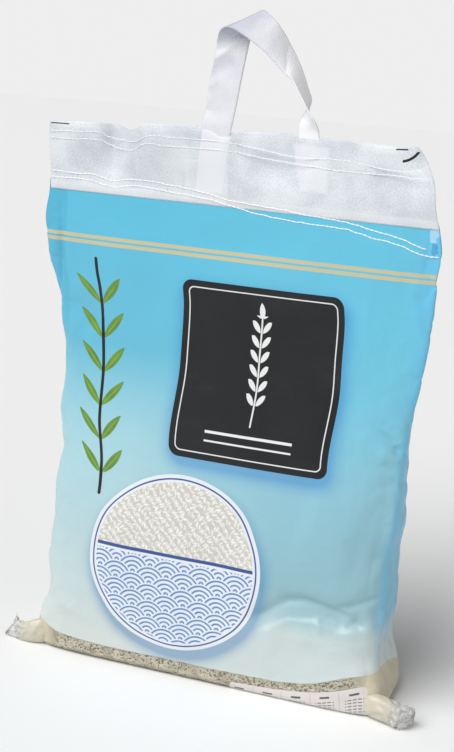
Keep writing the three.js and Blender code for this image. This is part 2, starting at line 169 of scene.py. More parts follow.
STITCH_ROWS = {
    "stitch_row_1": [[-172, 481.2], [-150, 482.5], [-126, 483.2], [-118, 480.4], [-106, 478.6], [-90, 479],
                     [-80, 484], [-71, 486.2], [-55, 485.6], [-10, 485.2], [20, 482], [56, 478.2],
                     [94, 479.2], [108, 478.2], [120, 476], [132, 474.9], [148, 474.9], [158, 476.9],
                     [164, 478.8]],
    "stitch_row_2": [[-172, 475.2], [-150, 476.2], [-126, 476.8], [-118, 474], [-106, 470.8], [-92, 471.6],
                     [-83, 477], [-74, 479], [-60, 477.8], [-13, 478.2], [20, 475.2], [56, 472.2],
                     [96, 470.4], [120, 470.3], [134, 470.9], [148, 470.4], [157, 470], [167, 472.5]],
    "stitch_row_3": [[-171, 446], [-148, 445.7], [-130, 446], [-118, 442.8], [-110, 442.2], [-100, 444.6],
                     [-84, 445.6], [-59, 443.9], [-23, 439.9], [-6, 436.3], [10, 434.9], [42, 433],
                     [66, 430.5], [84, 429.6], [100, 428.2], [124, 424], [149, 419.4], [161, 415.4],
                     [173, 412.8]],
    "stitch_row_4": [[-172, 440.5], [-150, 441], [-132, 440.4], [-118, 437.3], [-110, 436.7], [-100, 439],
                     [-86, 440], [-59, 437.9], [-23, 435.1], [-8, 432.6], [12, 428.6], [25, 426.6],
                     [66, 423.5], [84, 423.2], [103, 422], [120, 418.8], [149, 414], [161, 409.8],
                     [170, 408], [178, 407.6], [182, 409]],
}

# The ears at the ends of the bottom seam. At each station: centre, half height, half thickness, how deep the
# end is notched, and how far its upper tip stays behind.
LEFT_EAR = [((-140, -24, 13), 7, 7, 0, 0), ((-158, -33, 13.4), 12.6, 8.5, 0, 0),
            ((-168, -38, 12.4), 11.6, 6, 0, 0), ((-176, -39, 10.6), 10, 4.4, 0, 0),
            ((-183, -39, 10), 9.4, 3.2, 0, 1), ((-190, -38, 10.6), 10, 2.2, 1, 3),
            ((-201, -36.5, 12.8), 12.2, 1.2, 3, 13)]
RIGHT_EAR = [((142, -24, 12), 9, 8, 0, 0), ((160, -34, 12.4), 11.8, 10, 0, 0),
             ((170, -38, 12), 11.5, 9, 0, 0), ((180, -41.5, 11.8), 11.3, 8.6, 0, 0),
             ((188, -44, 11.4), 11, 7.6, 0, 0), ((195, -43, 11.2), 10.4, 6.4, 0, 0),
             ((201, -38, 10.6), 6.6, 4.4, 0, 0)]


def profile(pairs, h):
    """Value at h on a smooth curve through [height, value] pairs: cubic Hermite with Catmull-Rom slopes."""
    table = np.asarray(pairs, float)
    at, value = table[:, 0], table[:, 1:]
    before = np.r_[0, np.arange(len(at) - 1)]
    after = np.r_[np.arange(1, len(at)), len(at) - 1]
    slope = (value[after] - value[before]) / (at[after] - at[before])[:, None]
    h = np.clip(np.asarray(h, float), at[0], at[-1])
    i = np.clip(np.searchsorted(at, h, side="right") - 1, 0, len(at) - 2)
    span = (at[i + 1] - at[i])[..., None]
    t = (h - at[i])[..., None] / span
    eased = t * t * (3 - 2 * t)
    result = (value[i] * (1 - eased) + value[i + 1] * eased + span * slope[i] * t * (1 - t) ** 2
              - span * slope[i + 1] * t * t * (1 - t))
    return result[..., 0] if table.shape[1] == 2 else result


def smooth(t):
    """Eased step: 0 below 0, 1 above 1, 3t^2 - 2t^3 between."""
    t = np.clip(t, 0, 1)
    return t * t * (3 - 2 * t)


def unit(vectors):
    """Vectors divided by their lengths."""
    return vectors / np.maximum(np.linalg.norm(vectors, axis=-1, keepdims=True), 1e-9)


def ripples(rows, columns, rng, row_step, column_step, wave, stretch=1.0):
    """Band-limited noise of unit deviation: white noise whose spectrum is a bell about 1/wave. The columns
    join up, and stretch makes the ripples longer along them."""
    fy = np.fft.fftfreq(rows, row_step)[:, None]
    fx = np.fft.fftfreq(columns, column_step)[None, :] * stretch
    band = np.exp(-((np.hypot(fx, fy) * wave - 1) / 0.45) ** 2)
    field = np.fft.ifft2(np.fft.fft2(rng.standard_normal((rows, columns))) * band).real
    return field / field.std()


# Mesh building.

def new_object(name, points, faces, material, uvs=None, smooth_shading=True):
    """A mesh from points in millimetres and faces as index tuples or an (n, 4) array."""
    mesh = bpy.data.meshes.new(name)
    faces = faces.tolist() if isinstance(faces, np.ndarray) else faces
    mesh.from_pydata((points.reshape(-1, 3) * MM).tolist(), [], faces)
    if uvs is not None:
        mesh.uv_layers.new(name="film").data.foreach_set("uv", (np.asarray(uvs) * MM).ravel())
    mesh.polygons.foreach_set("use_smooth", [smooth_shading] * len(mesh.polygons))
    mesh.materials.append(material)
    mesh.validate()
    mesh.update()
    thing = bpy.data.objects.new(name, mesh)
    bpy.context.scene.collection.objects.link(thing)
    return thing


def ring_faces(rows, columns):
    """Quads of a tube of rings, each ring joined to itself."""
    r, c = np.meshgrid(np.arange(rows - 1), np.arange(columns), indexing="ij")
    n = (c + 1) % columns
    quads = np.stack([r * columns + c, r * columns + n, (r + 1) * columns + n, (r + 1) * columns + c], -1)
    return quads.reshape(-1, 4)


def tube(name, rings, material, stretches=()):
    """A closed tube from rings (rows, columns, 3), with a flat cap on each end. The stretches are the UVs
    (rows, spans + 1, 2) of parts that follow one another round it, so a join has the values of both."""
    rows, columns = rings.shape[:2]
    quads = ring_faces(rows, columns)
    caps = [list(range(columns))[::-1], list(range((rows - 1) * columns, rows * columns))]
    loops = None
    if stretches:
        corners = [np.stack([uv[:-1, :-1], uv[:-1, 1:], uv[1:, 1:], uv[1:, :-1]], 2) for uv in stretches]
        first, last = (np.concatenate([uv[k, :-1] for uv in stretches]) for k in (0, -1))
        loops = np.concatenate([np.concatenate(corners, 1).reshape(-1, 2), first[::-1], last])
    return new_object(name, rings, quads.tolist() + caps, material, loops)


# The film bag.

def half_section(z, front, inset=0.0, spans=FILM_COLUMNS):
    """Half a cross-section as evenly spaced [x, reach] from the left edge to the right one, and how far each
    point is from the middle along it: a superellipse x = edge cos(a)^(2/p), reach = depth sin(a)^(2/p)."""
    power = 2 / profile(SECTION_POWER, z)
    angle = np.linspace(0, np.pi, 401)
    shape = -np.sign(np.cos(angle)) * np.abs(np.cos(angle)) ** power
    edge = np.where(shape < 0, profile(LEFT_EDGE, z), profile(RIGHT_EDGE, z)) - inset
    reach = (profile(FRONT_DEPTH if front else BACK_DEPTH, z) - inset) * np.abs(np.sin(angle)) ** power
    reach[[0, -1]] = 0
    x = shape * edge
    length = np.r_[0, np.cumsum(np.hypot(np.diff(x), np.diff(reach)))]
    even = np.linspace(0, length[-1], spans + 1)
    return np.interp(even, length, x), np.interp(even, length, reach), even - length[-1] / 2


def section_ring(z, height, inset=0.0):
    """One ring of the bag at a height: the front from left to right and the back from right to left."""
    x, reach, s = half_section(z, True, inset)
    back_x, back_reach, back_s = half_section(z, False, inset)
    ring_x = np.r_[x[:-1], back_x[::-1][:-1]]
    ring_y = np.r_[-reach[:-1], back_reach[::-1][:-1]]
    return np.stack([ring_x, ring_y, np.full_like(ring_x, height)], -1), s, back_s


BACK_UV = 1000  # the back's own UVs start here, in millimetres


def bag_rings(inset=0.0, top=TONGUE_HEIGHT):
    """All rings of the bag from the middle of its base to its top, with their UVs along and up the film."""
    base = [(0, 0.0, spread) for spread in (38, 26, 16, 10)]
    turns = np.radians(np.linspace(0, 80, 7))
    rim = [(0, BASE_ROUND * (1 - math.cos(a)), BASE_ROUND * (1 - math.sin(a))) for a in turns]
    count = round((top - BASE_ROUND) / FILM_STEP)
    body = [(z, z, 0.0) for z in np.linspace(BASE_ROUND, top, count + 1)]
    rings, uvs = [], []
    for z, height, spread in base + rim + body:
        ring, s, back_s = section_ring(z, height, spread + inset)
        ring[:, 2] += inset if height < BASE_ROUND else 0
        rings.append(ring)
        t = height - max(0.0, spread - BASE_ROUND) - 0.5 * min(spread, BASE_ROUND)
        back_s = back_s[::-1] + BACK_UV
        uvs.append([np.stack([s, np.full_like(s, t)], -1), np.stack([back_s, np.full_like(s, t)], -1)])
    return np.array(rings), np.array(uvs)


def surface_normals(rings):
    """Unit normals of a tube of rings: the cross product of the steps around it and up it."""
    around = np.roll(rings, -1, 1) - np.roll(rings, 1, 1)
    up = np.gradient(rings, axis=0)
    normals = unit(np.cross(around, up))
    flat = np.linalg.norm(np.cross(around, up), axis=-1) < 1e-6
    normals[flat] = [0, 0, -1]
    return normals


def distance_to_path(path, x, z):
    """Distance to the nearest point of a path, and how far along the path that is, from 0 to 1."""
    path = np.asarray(path, float)
    steps = np.diff(path, axis=0)
    lengths = np.hypot(*steps.T)
    nearest, share, done = np.full(np.shape(x), np.inf), np.zeros(np.shape(x)), 0.0
    for start, along, length in zip(path, steps, lengths):
        c = np.clip(((x - start[0]) * along[0] + (z - start[1]) * along[1]) / length ** 2, 0, 1)
        away = np.hypot(x - start[0] - c * along[0], z - start[1] - c * along[1])
        share = np.where(away < nearest, (done + c * length) / lengths.sum(), share)
        nearest = np.minimum(nearest, away)
        done += length
    return nearest, share


def crease_lift(creases, x, z):
    """Sum of the creases: height times a bell, or for a sharp one an exponential, of the distance to its
    path. A crease is lower towards its ends."""
    lift = np.zeros_like(x)
    for path, height, width, sharp in creases:
        away, share = distance_to_path(path, x, z)
        away = away / width
        bell = np.exp(-away ** 2)
        point = np.exp(-(np.sqrt(away ** 2 + 0.02) - 0.14) * 1.3)
        fade = 1 - 0.7 * smooth((np.abs(share - 0.5) - 0.2) / 0.3)
        lift += height * fade * (bell * (1 - sharp) + point * sharp)
    return lift


def ledge_lift(ledges, x, z):
    """Sum of the ledges: a step at the path's height that dies away below it."""
    lift = np.zeros_like(x)
    for path, height, reach in ledges:
        path = np.asarray(path, float)
        below = np.interp(x, path[:, 0], path[:, 1]) - z
        inside = smooth((x - path[0, 0]) / 24) * smooth((path[-1, 0] - x) / 10)
        lift += height * inside * smooth(below / 5 + 0.4) * np.exp(-np.maximum(below, 0) / reach)
    return lift


def film_lift(rings):
    """How far the film stands off its smooth shape: its creases, soft billows, and a net of fine creases
    where a slow noise crosses zero, which is strongest beside the edges and the base."""
    rng = np.random.default_rng(41)
    rows, columns = rings.shape[:2]
    x, z = rings[..., 0], rings[..., 2]
    front = np.zeros((rows, columns), bool)
    front[:, :FILM_COLUMNS] = True
    edge = np.where(x < 0, profile(LEFT_EDGE, z), profile(RIGHT_EDGE, z))
    inward = np.clip(edge - np.abs(x), 0, None)
    on_front = crease_lift(FRONT_CREASES, x, z) + ledge_lift(FRONT_LEDGES, x, z)
    lift = np.where(front, on_front, crease_lift(BACK_CREASES, x, z))
    lift *= smooth(inward / 8) * 0.8 + 0.2
    lift += 0.55 * ripples(rows, columns, rng, FILM_STEP, FILM_SPAN, 95)
    near_edge = np.exp(-inward / 26) + 0.7 * np.exp(-z / 26) + 0.12
    net = ripples(rows, columns, rng, FILM_STEP, FILM_SPAN, 58, 0.8)
    fine = ripples(rows, columns, rng, FILM_STEP, FILM_SPAN, 26, 0.9)
    lift -= near_edge * (0.85 * np.exp(-np.abs(net) / 0.16) + 0.4 * np.exp(-np.abs(fine) / 0.2))
    lift += 0.25 * near_edge * fine
    return lift * smooth((z - 0.5) / 16) * smooth((SEAM_HEIGHT + 2 - z) / 22)


@functools.lru_cache(maxsize=None)
def film_surface():
    """The wrinkled film's rings and UVs, with the smooth shape's normals and the film's lift along them."""
    rings, uvs = bag_rings()
    normals = surface_normals(rings)
    lift = film_lift(rings)[..., None]
    return rings + normals * lift, uvs, normals, lift


def film_front_depth(x, z):
    """y of the wrinkled film's front at each [x, z], read between its rings."""
    front = film_surface()[0][-60:, :FILM_COLUMNS + 1]
    level = front[:, FILM_COLUMNS // 2, 2]
    table = np.array([np.interp(x, ring[:, 0], ring[:, 1]) for ring in front])
    row = np.clip((z - level[0]) / (level[1] - level[0]), 0, len(level) - 1.001)
    i, k = row.astype(int), np.arange(len(x))
    return table[i, k] * (1 - (row - i)) + table[i + 1, k] * (row - i)


# Shader building.

def srgb(red, green, blue):
    """A colour given as screen values from 0 to 255, as Blender's linear colour."""
    screen = np.array((red, green, blue)) / 255
    linear = np.where(screen > 0.0404, ((screen + 0.055) / 1.055) ** 2.4, screen / 12.92)
    return (*linear.tolist(), 1)


class Sum:
    """A number in a shader tree. Arithmetic on it adds Math nodes to the tree."""

    def __init__(self, tree, socket):
        self.tree = tree
        self.socket = socket

    def math(self, operation, *others, clamp=False):
        """A Math node of this number and others."""
        node = self.tree.nodes.new("ShaderNodeMath")
        node.operation = operation
        node.use_clamp = clamp
        for i, value in enumerate((self,) + others):
            if isinstance(value, Sum):
                self.tree.links.new(value.socket, node.inputs[i])
            else:
                node.inputs[i].default_value = value
        return Sum(self.tree, node.outputs[0])

    def __add__(self, other):
        return self.math("ADD", other)

    def __sub__(self, other):
        return self.math("SUBTRACT", other)

    def __mul__(self, other):
        return self.math("MULTIPLY", other)

    def __truediv__(self, other):
        return self.math("DIVIDE", other)

    def abs(self):
        return self.math("ABSOLUTE")

    def least(self, other):
        return self.math("MINIMUM", other)

    def most(self, other):
        return self.math("MAXIMUM", other)

    def root(self):
        return self.math("SQRT")

    def limit(self):
        """This number kept between 0 and 1."""
        return self.math("ADD", 0.0, clamp=True)

    def flip(self):
        """1 less this number."""
        return self * -1 + 1

    def inside(self, soft=0.0003):
        """1 where this distance is below zero and 0 above, over a soft edge."""
        return (self * (-1 / soft)).math("ADD", 0.5, clamp=True)

    def wrap(self, size):
        """Distance to the nearest whole multiple of size, signed."""
        return self - (self / size).math("ROUND") * size


def coordinates(tree, kind="UV"):
    """The x, y and z of UV or Object coordinates as numbers, and the vector itself."""
    if kind == "UV":
        node = tree.nodes.new("ShaderNodeUVMap")
        node.uv_map = "film"
        source = node.outputs["UV"]
    else:
        node = tree.nodes.new("ShaderNodeTexCoord")
        source = node.outputs["Object"]
    split = tree.nodes.new("ShaderNodeSeparateXYZ")
    tree.links.new(source, split.inputs[0])
    return [Sum(tree, split.outputs[i]) for i in range(3)], source


def combine(tree, x, y, z=0.0):
    """A vector from three numbers."""
    node = tree.nodes.new("ShaderNodeCombineXYZ")
    for i, value in enumerate((x, y, z)):
        if isinstance(value, Sum):
            tree.links.new(value.socket, node.inputs[i])
        else:
            node.inputs[i].default_value = value
    return node.outputs[0]


def noise(tree, vector, scale, detail=3.0, roughness=0.5, distortion=0.0):
    """Soft noise from 0 to 1."""
    node = tree.nodes.new("ShaderNodeTexNoise")
    node.inputs["Scale"].default_value = scale
    node.inputs["Detail"].default_value = detail
    node.inputs["Roughness"].default_value = roughness
    node.inputs["Distortion"].default_value = distortion
    tree.links.new(vector, node.inputs["Vector"])
    return Sum(tree, node.outputs["Fac"])


def voronoi(tree, vector):
    """Distance to the nearest of the points scattered one in each unit cell."""
    node = tree.nodes.new("ShaderNodeTexVoronoi")
    node.inputs["Scale"].default_value = 1.0
    tree.links.new(vector, node.inputs["Vector"])
    return Sum(tree, node.outputs["Distance"])


def ramp(tree, value, stops, ease="EASE"):
    """The colour at a value from 0 to 1, between stops of (value, colour)."""
    node = tree.nodes.new("ShaderNodeValToRGB")
    node.color_ramp.interpolation = ease
    points = node.color_ramp.elements
    while len(points) < len(stops):
        points.new(0.5)
    for point, (place, colour) in zip(points, stops):
        point.position = place
        point.color = colour
    tree.links.new(value.socket, node.inputs[0])
    return node.outputs[0]


def mix(tree, mask, under, over):
    """The colour over where the mask is 1 and under where it is 0."""
    node = tree.nodes.new("ShaderNodeMix")
    node.data_type = "RGBA"
    for index, value in ((0, mask), (6, under), (7, over)):
        if isinstance(value, Sum):
            tree.links.new(value.socket, node.inputs[index])
        elif isinstance(value, bpy.types.NodeSocket):
            tree.links.new(value, node.inputs[index])
        else:
            node.inputs[index].default_value = value
    return node.outputs[2]


def bump(tree, height, distance, strength):
    """The normal of a fine relief."""
    node = tree.nodes.new("ShaderNodeBump")
    node.inputs["Strength"].default_value = strength
    node.inputs["Distance"].default_value = distance
    tree.links.new(height.socket, node.inputs["Height"])
    return node.outputs[0]


def new_material(name, **values):
    """A material with its Principled shader's sockets set. Returns the material, tree and shader."""
    material = bpy.data.materials.new(name)
    material.use_nodes = True
    tree = material.node_tree
    shader = tree.nodes["Principled BSDF"]
    for key, value in values.items():
        shader.inputs[key.replace("_", " ")].default_value = value
    return material, tree, shader


# Distances to flat shapes, as numbers in a shader tree. Coordinates and sizes are in metres.

def disc(s, t, centre, radius):
    """A round disc: the distance to its centre less its radius."""
    u, v = s - centre[0], t - centre[1]
    return (u * u + v * v).root() - radius


def plate(s, t, centre, half, round_by):
    """A rectangle with round corners."""
    u = (s - centre[0]).abs() - (half[0] - round_by)
    v = (t - centre[1]).abs() - (half[1] - round_by)
    out = (u.most(0) * u.most(0) + v.most(0) * v.most(0)).root()
    return out + u.most(v).least(0) - round_by


def stroke(s, t, start, end, half):
    """A straight line with round ends."""
    ax, ay = end[0] - start[0], end[1] - start[1]
    u, v = s - start[0], t - start[1]
    along = ((u * ax + v * ay) / (ax * ax + ay * ay)).limit()
    du, dv = u - along * ax, v - along * ay
    return (du * du + dv * dv).root() - half


def leaf(u, v, angle, length, width):
    """A pointed leaf that starts at the origin: the overlap of two discs whose chord is its midrib."""
    c, s = math.cos(angle), math.sin(angle)
    along = u * c + v * s - length / 2
    off = (v * c - u * s).abs()
    radius = (length * length / 4 + width * width / 4) / width
    drop = radius - width / 2
    return (along * along + (off + drop) * (off + drop)).root() - radius


def soft_shadow(distance, reach):
    """1 at the shape's edge, fading to 0 at reach outside it."""
    fade = (distance * (-1 / reach) + 1).limit()
    return fade * fade


def wave_scales(s, t, radius):
    """The traditional pattern of overlapping round scales, each with rings: 1 on a ring's line. A lower row
    of scales covers the rows above it."""
    lines = None
    step = radius * 0.5
    for row in (1, 0, -1):
        k = (t / step).math("FLOOR") + row
        shift = (k * 0.5).math("FRACT") * (2 * radius)
        u = (s + shift).wrap(radius * 2)
        v = t - k * step
        away = (u * u + v * v).root() / radius
        ring = ((away * 4.0 + 0.12).math("FRACT") - 0.5).abs()
        line = (ring * -1 + 0.24).math("MULTIPLY", 12.0, clamp=True)
        cover = (away * -1 + 1).math("MULTIPLY", 40.0, clamp=True)
        lines = line * cover if lines is None else lines * cover.flip() + line * cover
    return lines


def curve(tree, s, pairs):
    """Straight-line interpolation of [s, value] pairs, in metres, as a number in the tree."""
    low, high = pairs[0][0], pairs[-1][0]
    most = max(value for _, value in pairs)
    place = ((s - low) * (1 / (high - low))).limit()
    stops = [((at - low) / (high - low), (value / most,) * 3 + (1,)) for at, value in pairs]
    split = tree.nodes.new("ShaderNodeSeparateColor")
    tree.links.new(ramp(tree, place, stops, "LINEAR"), split.inputs[0])
    return Sum(tree, split.outputs[0]) * most


def grain_group():
    """One layer of scattered grains: in each cell of a grid, one ellipse at a random place and angle."""
    tree = bpy.data.node_groups.new("scattered_grains", "ShaderNodeTree")
    for name in ("S", "T", "Seed"):
        tree.interface.new_socket(name, in_out="INPUT", socket_type="NodeSocketFloat")
    for name in ("Cover", "Shade"):
        tree.interface.new_socket(name, in_out="OUTPUT", socket_type="NodeSocketFloat")
    given = tree.nodes.new("NodeGroupInput")
    s, t, seed = (Sum(tree, given.outputs[i]) for i in range(3))
    a, b = s + seed * 0.37, t + seed * 0.61
    cell_a, cell_b = a.math("FLOOR"), b.math("FLOOR")
    draw = tree.nodes.new("ShaderNodeTexWhiteNoise")
    tree.links.new(combine(tree, cell_a, cell_b, seed), draw.inputs["Vector"])
    split = tree.nodes.new("ShaderNodeSeparateColor")
    tree.links.new(draw.outputs["Color"], split.inputs[0])
    turn, da, db = (Sum(tree, split.outputs[i]) for i in range(3))
    u = a - cell_a - 0.5 - (da - 0.5) * 0.24
    v = b - cell_b - 0.5 - (db - 0.5) * 0.24
    angle = turn * math.pi
    c, n = angle.math("COSINE"), angle.math("SINE")
    along, across = (u * c + v * n) / 0.45, (v * c - u * n) / 0.17
    away = along * along + across * across
    out = tree.nodes.new("NodeGroupOutput")
    tree.links.new((away * -1 + 1).math("MULTIPLY", 6.0, clamp=True).socket, out.inputs[0])
    tree.links.new((away * -0.45 + 1 - da * 0.12).limit().socket, out.inputs[1])
    return tree


def grain_print(tree, s, t, pitch, layers=6):
    """Grains over grains: a printed heap of rice, as its colour."""
    colour = srgb(196, 194, 186)
    for layer in range(layers):
        node = tree.nodes.new("ShaderNodeGroup")
        node.node_tree = bpy.data.node_groups.get("scattered_grains") or grain_group()
        tree.links.new((s / pitch).socket, node.inputs["S"])
        tree.links.new((t / pitch).socket, node.inputs["T"])
        node.inputs["Seed"].default_value = layer + 1.0
        shade = Sum(tree, node.outputs["Shade"])
        tone = ramp(tree, shade, [(0.5, srgb(186, 183, 174)), (1.0, srgb(240, 240, 236))], "LINEAR")
        colour = mix(tree, Sum(tree, node.outputs["Cover"]), colour, tone)
    return colour


TAN_HEIGHT = 0.3885
TAN_INK = srgb(196, 189, 152)


def tan_rules(t):
    """Two thin rules across the sack, 1 on them: a strip less a narrower one."""
    off = (t - TAN_HEIGHT).abs()
    return (off - 0.0042).inside() * (off - 0.0009).inside().flip()


# Screen colours of the print's ground at heights up the film, in metres, on its left and on its right.
SKY_LEFT = [(0.03, (201, 210, 207)), (0.11, (179, 203, 207)), (0.22, (157, 202, 213)),
            (0.30, (98, 180, 206)), (0.41, (92, 187, 216))]
SKY_RIGHT = [(0.05, (199, 210, 209)), (0.070, (197, 211, 211)), (0.085, (160, 190, 196)),
             (0.11, (139, 181, 191)), (0.20, (136, 188, 204)), (0.29, (110, 192, 217)),
             (0.40, (98, 190, 218))]


def sky_print(tree, s, t):
    """The ground of the print: sky blue that pales towards the bottom, sooner on the left, with painted shade
    darkening the upper left edge where the film turns away.
    """
    height = t + (noise(tree, combine(tree, s, t), 9, 2) - 0.5) * 0.010
    shades = []
    for table in (SKY_LEFT, SKY_RIGHT):
        top = table[-1][0]
        stops = [(at / top, srgb(*colour)) for at, colour in table]
        shades.append(ramp(tree, (height / top).limit(), stops, "LINEAR"))
    sky = mix(tree, ((s + 0.08) * 7).limit(), *shades)
    side = ((s - 0.157) * 120).limit() * ((t - 0.045) * 20).limit()
    sky = mix(tree, side * 0.65, sky, srgb(104, 190, 228))
    # Painted shade: the upper left edge is darkened where the film turns away from the light.
    painted_left_edge_shade = ((s * -1 - 0.1585) * 500).limit() * ((t - 0.29) * 16).limit()
    return mix(tree, painted_left_edge_shade * 0.32, sky, srgb(56, 156, 194))


WHITE_INK = srgb(224, 227, 226)
DARK_INK = srgb(20, 22, 24)


def print_stem(tree, s, t, colour):
    """A slim dark stem with a pair of leaves at each step up it."""
    u = s + 0.118 + (t - 0.26) * 0.1
    beat = (t - 0.012).wrap(0.030)
    leaves = leaf(u.abs(), beat + 0.010, 0.85, 0.034, 0.0075)
    vein = leaf(u.abs(), beat + 0.010, 0.85, 0.030, 0.0007)
    extent = ((t - 0.272).abs() - 0.088).inside(0.001)
    green = mix(tree, noise(tree, combine(tree, s, t), 60, 3), srgb(62, 108, 30), srgb(122, 166, 66))
    green = mix(tree, vein.inside() * 0.6, green, srgb(160, 190, 104))
    colour = mix(tree, leaves.inside() * extent, colour, green)
    stem = stroke(u, t, (0, 0.165), (0, 0.372), 0.0016)
    return mix(tree, stem.inside(), colour, DARK_INK)


def print_plaque(tree, s, t, colour):
    """A near-black plaque in a thin white frame, with an ear of grain over plain bars."""
    middle, half = (0.028, 0.288), (0.073, 0.077)
    drop = plate(s - 0.002, t + 0.006, middle, half, 0.012)
    colour = mix(tree, soft_shadow(drop, 0.016) * 0.55, colour, srgb(44, 126, 192))
    colour = mix(tree, plate(s, t, middle, half, 0.009).inside(), colour, DARK_INK)
    frame_line = plate(s, t, middle, (half[0] - 0.006, half[1] - 0.006), 0.005).abs() - 0.0005
    off = (s - middle[0]).abs()
    grains = leaf(off - 0.0012, (t - 0.268).wrap(0.0125) + 0.004, 1.0, 0.0135, 0.0046)
    ear = grains.inside() * ((t - 0.303).abs() - 0.0385).inside(0.0005)
    tip = leaf(s - middle[0], t - 0.338, math.pi / 2, 0.0145, 0.005)
    stalk = stroke(s, t, (middle[0], 0.246), (middle[0], 0.338), 0.0007)
    bars = ((t - 0.2365).abs() - 0.0012).inside().most(((t - 0.2285).abs() - 0.0008).inside())
    bars = bars * (off - 0.040).inside()
    white = frame_line.inside().most(ear).most(tip.inside()).most(stalk.inside()).most(bars)
    return mix(tree, white, colour, WHITE_INK)


def print_disc(tree, s, t, colour):
    """A white disc with a dark-blue rim, a heap of grain above its belt and round scales below it."""
    centre, radius, belt = (-0.028, 0.112), 0.083, 0.120
    edge = disc(s, t, centre, radius)
    cast = disc(s, t, (centre[0] + 0.003, centre[1] - 0.008), radius)
    colour = mix(tree, soft_shadow(cast, 0.014) * 0.6, colour, srgb(66, 130, 178))
    face = mix(tree, noise(tree, combine(tree, s, t), 14, 2), srgb(210, 216, 226), srgb(232, 234, 234))
    colour = mix(tree, edge.inside(), colour, face)
    inner = (edge + 0.007).inside()
    colour = mix(tree, inner * (t * -1 + belt).inside(), colour, grain_print(tree, s, t, 0.0085))
    blue = mix(tree, noise(tree, combine(tree, s, t), 120, 3), srgb(48, 92, 166), srgb(116, 160, 208))
    scales = wave_scales(s, t, 0.0165) * inner * (t - belt + 0.004).inside()
    colour = mix(tree, scales, colour, blue)
    rim = (edge + 0.004).abs() - 0.0007
    line = rim.inside().most(((t - belt).abs() - 0.0016).inside() * inner)
    return mix(tree, line, colour, srgb(44, 76, 140))


def back_print(tree, s, t, colour):
    """A blank pale panel with rows of thin lines."""
    field = plate(s, t, (0, 0.22), (0.105, 0.12), 0.008)
    rows = (t.wrap(0.012).abs() - 0.0011).inside() * plate(s, t, (0, 0.19), (0.088, 0.07), 0.002).inside()
    panel = mix(tree, rows, srgb(222, 230, 234), srgb(150, 196, 214))
    return mix(tree, field.inside(), colour, panel)


# The print's lower edge on the front and on the back, and the top of the label, as [s, t] in metres along
# and up the film.
CLEAR_EDGE = [(-0.215, 0.021), (-0.200, 0.021), (-0.190, 0.026), (-0.176, 0.031), (-0.164, 0.0285),
              (-0.155, 0.024), (-0.146, 0.0205), (-0.137, 0.0186), (-0.120, 0.0175), (-0.070, 0.0165),
              (0.000, 0.0173), (0.077, 0.0186), (0.097, 0.0218), (0.113, 0.026), (0.127, 0.032),
              (0.145, 0.0385), (0.164, 0.042), (0.185, 0.042), (0.200, 0.039), (0.215, 0.039)]
BACK_EDGE = [(-0.215, 0.021), (-0.200, 0.021), (-0.180, 0.018), (-0.060, 0.0165), (0.060, 0.0172),
             (0.120, 0.018), (0.170, 0.028), (0.200, 0.039), (0.215, 0.039)]
LABEL_TOP = [(0.030, 0.0085), (0.057, 0.0096), (0.075, 0.0108), (0.092, 0.0128), (0.108, 0.0160),
             (0.122, 0.0200), (0.136, 0.0245), (0.149, 0.0288), (0.162, 0.0315)]
LABEL_SIDE = (0.030, 0.1585)


def label_print(tree, s, t):
    """The white label over the clear strip, with cells and plain bars in them: its cover and its colour."""
    middle, half = (LABEL_SIDE[0] + LABEL_SIDE[1]) / 2, (LABEL_SIDE[1] - LABEL_SIDE[0]) / 2
    down = t - curve(tree, s, LABEL_TOP)
    label = plate(s, down, (middle, -0.030), (half, 0.030), 0.004)
    cell = (s - 0.1335).wrap(0.027)
    rules = (cell.abs() - 0.0003).inside() * 0.3
    off = cell.abs() - 0.0135
    heading = ((down + 0.0060).abs() - 0.0010).inside() * (off.abs() - 0.0045).inside()
    lines = ((down + 0.0112).wrap(0.0032).abs() - 0.0006).inside() * (down + 0.0094).inside()
    lines = lines * (off.abs() - 0.0085).inside() * (s.wrap(0.0046).abs() - 0.0017).inside()
    ink = heading.most(lines * 0.8).most(rules) * (label + 0.0015).inside()
    return label.inside(), mix(tree, ink, srgb(216, 210, 206), srgb(82, 80, 82))


# Two small fields at the film's upper right: middle and half size in metres, strength and colour.
EDGE_MARKS = [((0.1765, 0.4245), (0.0075, 0.0055), 0.6, srgb(190, 226, 246)),
              ((0.179, 0.4140), (0.0080, 0.0050), 0.5, srgb(40, 130, 190))]


def whole_print(tree, s, t, back):
    """The print's colour all round the sack: back is 1 on its back."""
    ground = mix(tree, tan_rules(t), sky_print(tree, s, t), TAN_INK)
    front = print_disc(tree, s, t, print_plaque(tree, s, t, print_stem(tree, s, t, ground)))
    for middle, half, share, shade in EDGE_MARKS:
        front = mix(tree, plate(s, t, middle, half, 0.0004).inside() * share, front, shade)
    return mix(tree, back, front, back_print(tree, s, t, ground))


def clear_strip(tree, source, s, t):
    """The clear strip's colour and alpha: hazy, darker brown and more opaque at its rim as painted contact
    shadow, and thicker towards the corners.
    """
    haze = noise(tree, source, 40, 3)
    # Painted shadow: the film is darkened and made more opaque along the rim where the sack meets the floor.
    rim = ((t * -1 + 0.0065) * 220).limit()
    corner = ((s.abs() - 0.136) * 45).limit()
    film = mix(tree, corner, srgb(207, 202, 186), srgb(218, 210, 184))
    film = mix(tree, rim * (corner * -0.6 + 1), film, srgb(132, 126, 108))
    return film, (haze * 0.14 + 0.16 + rim * 0.2).most(corner * 0.8)


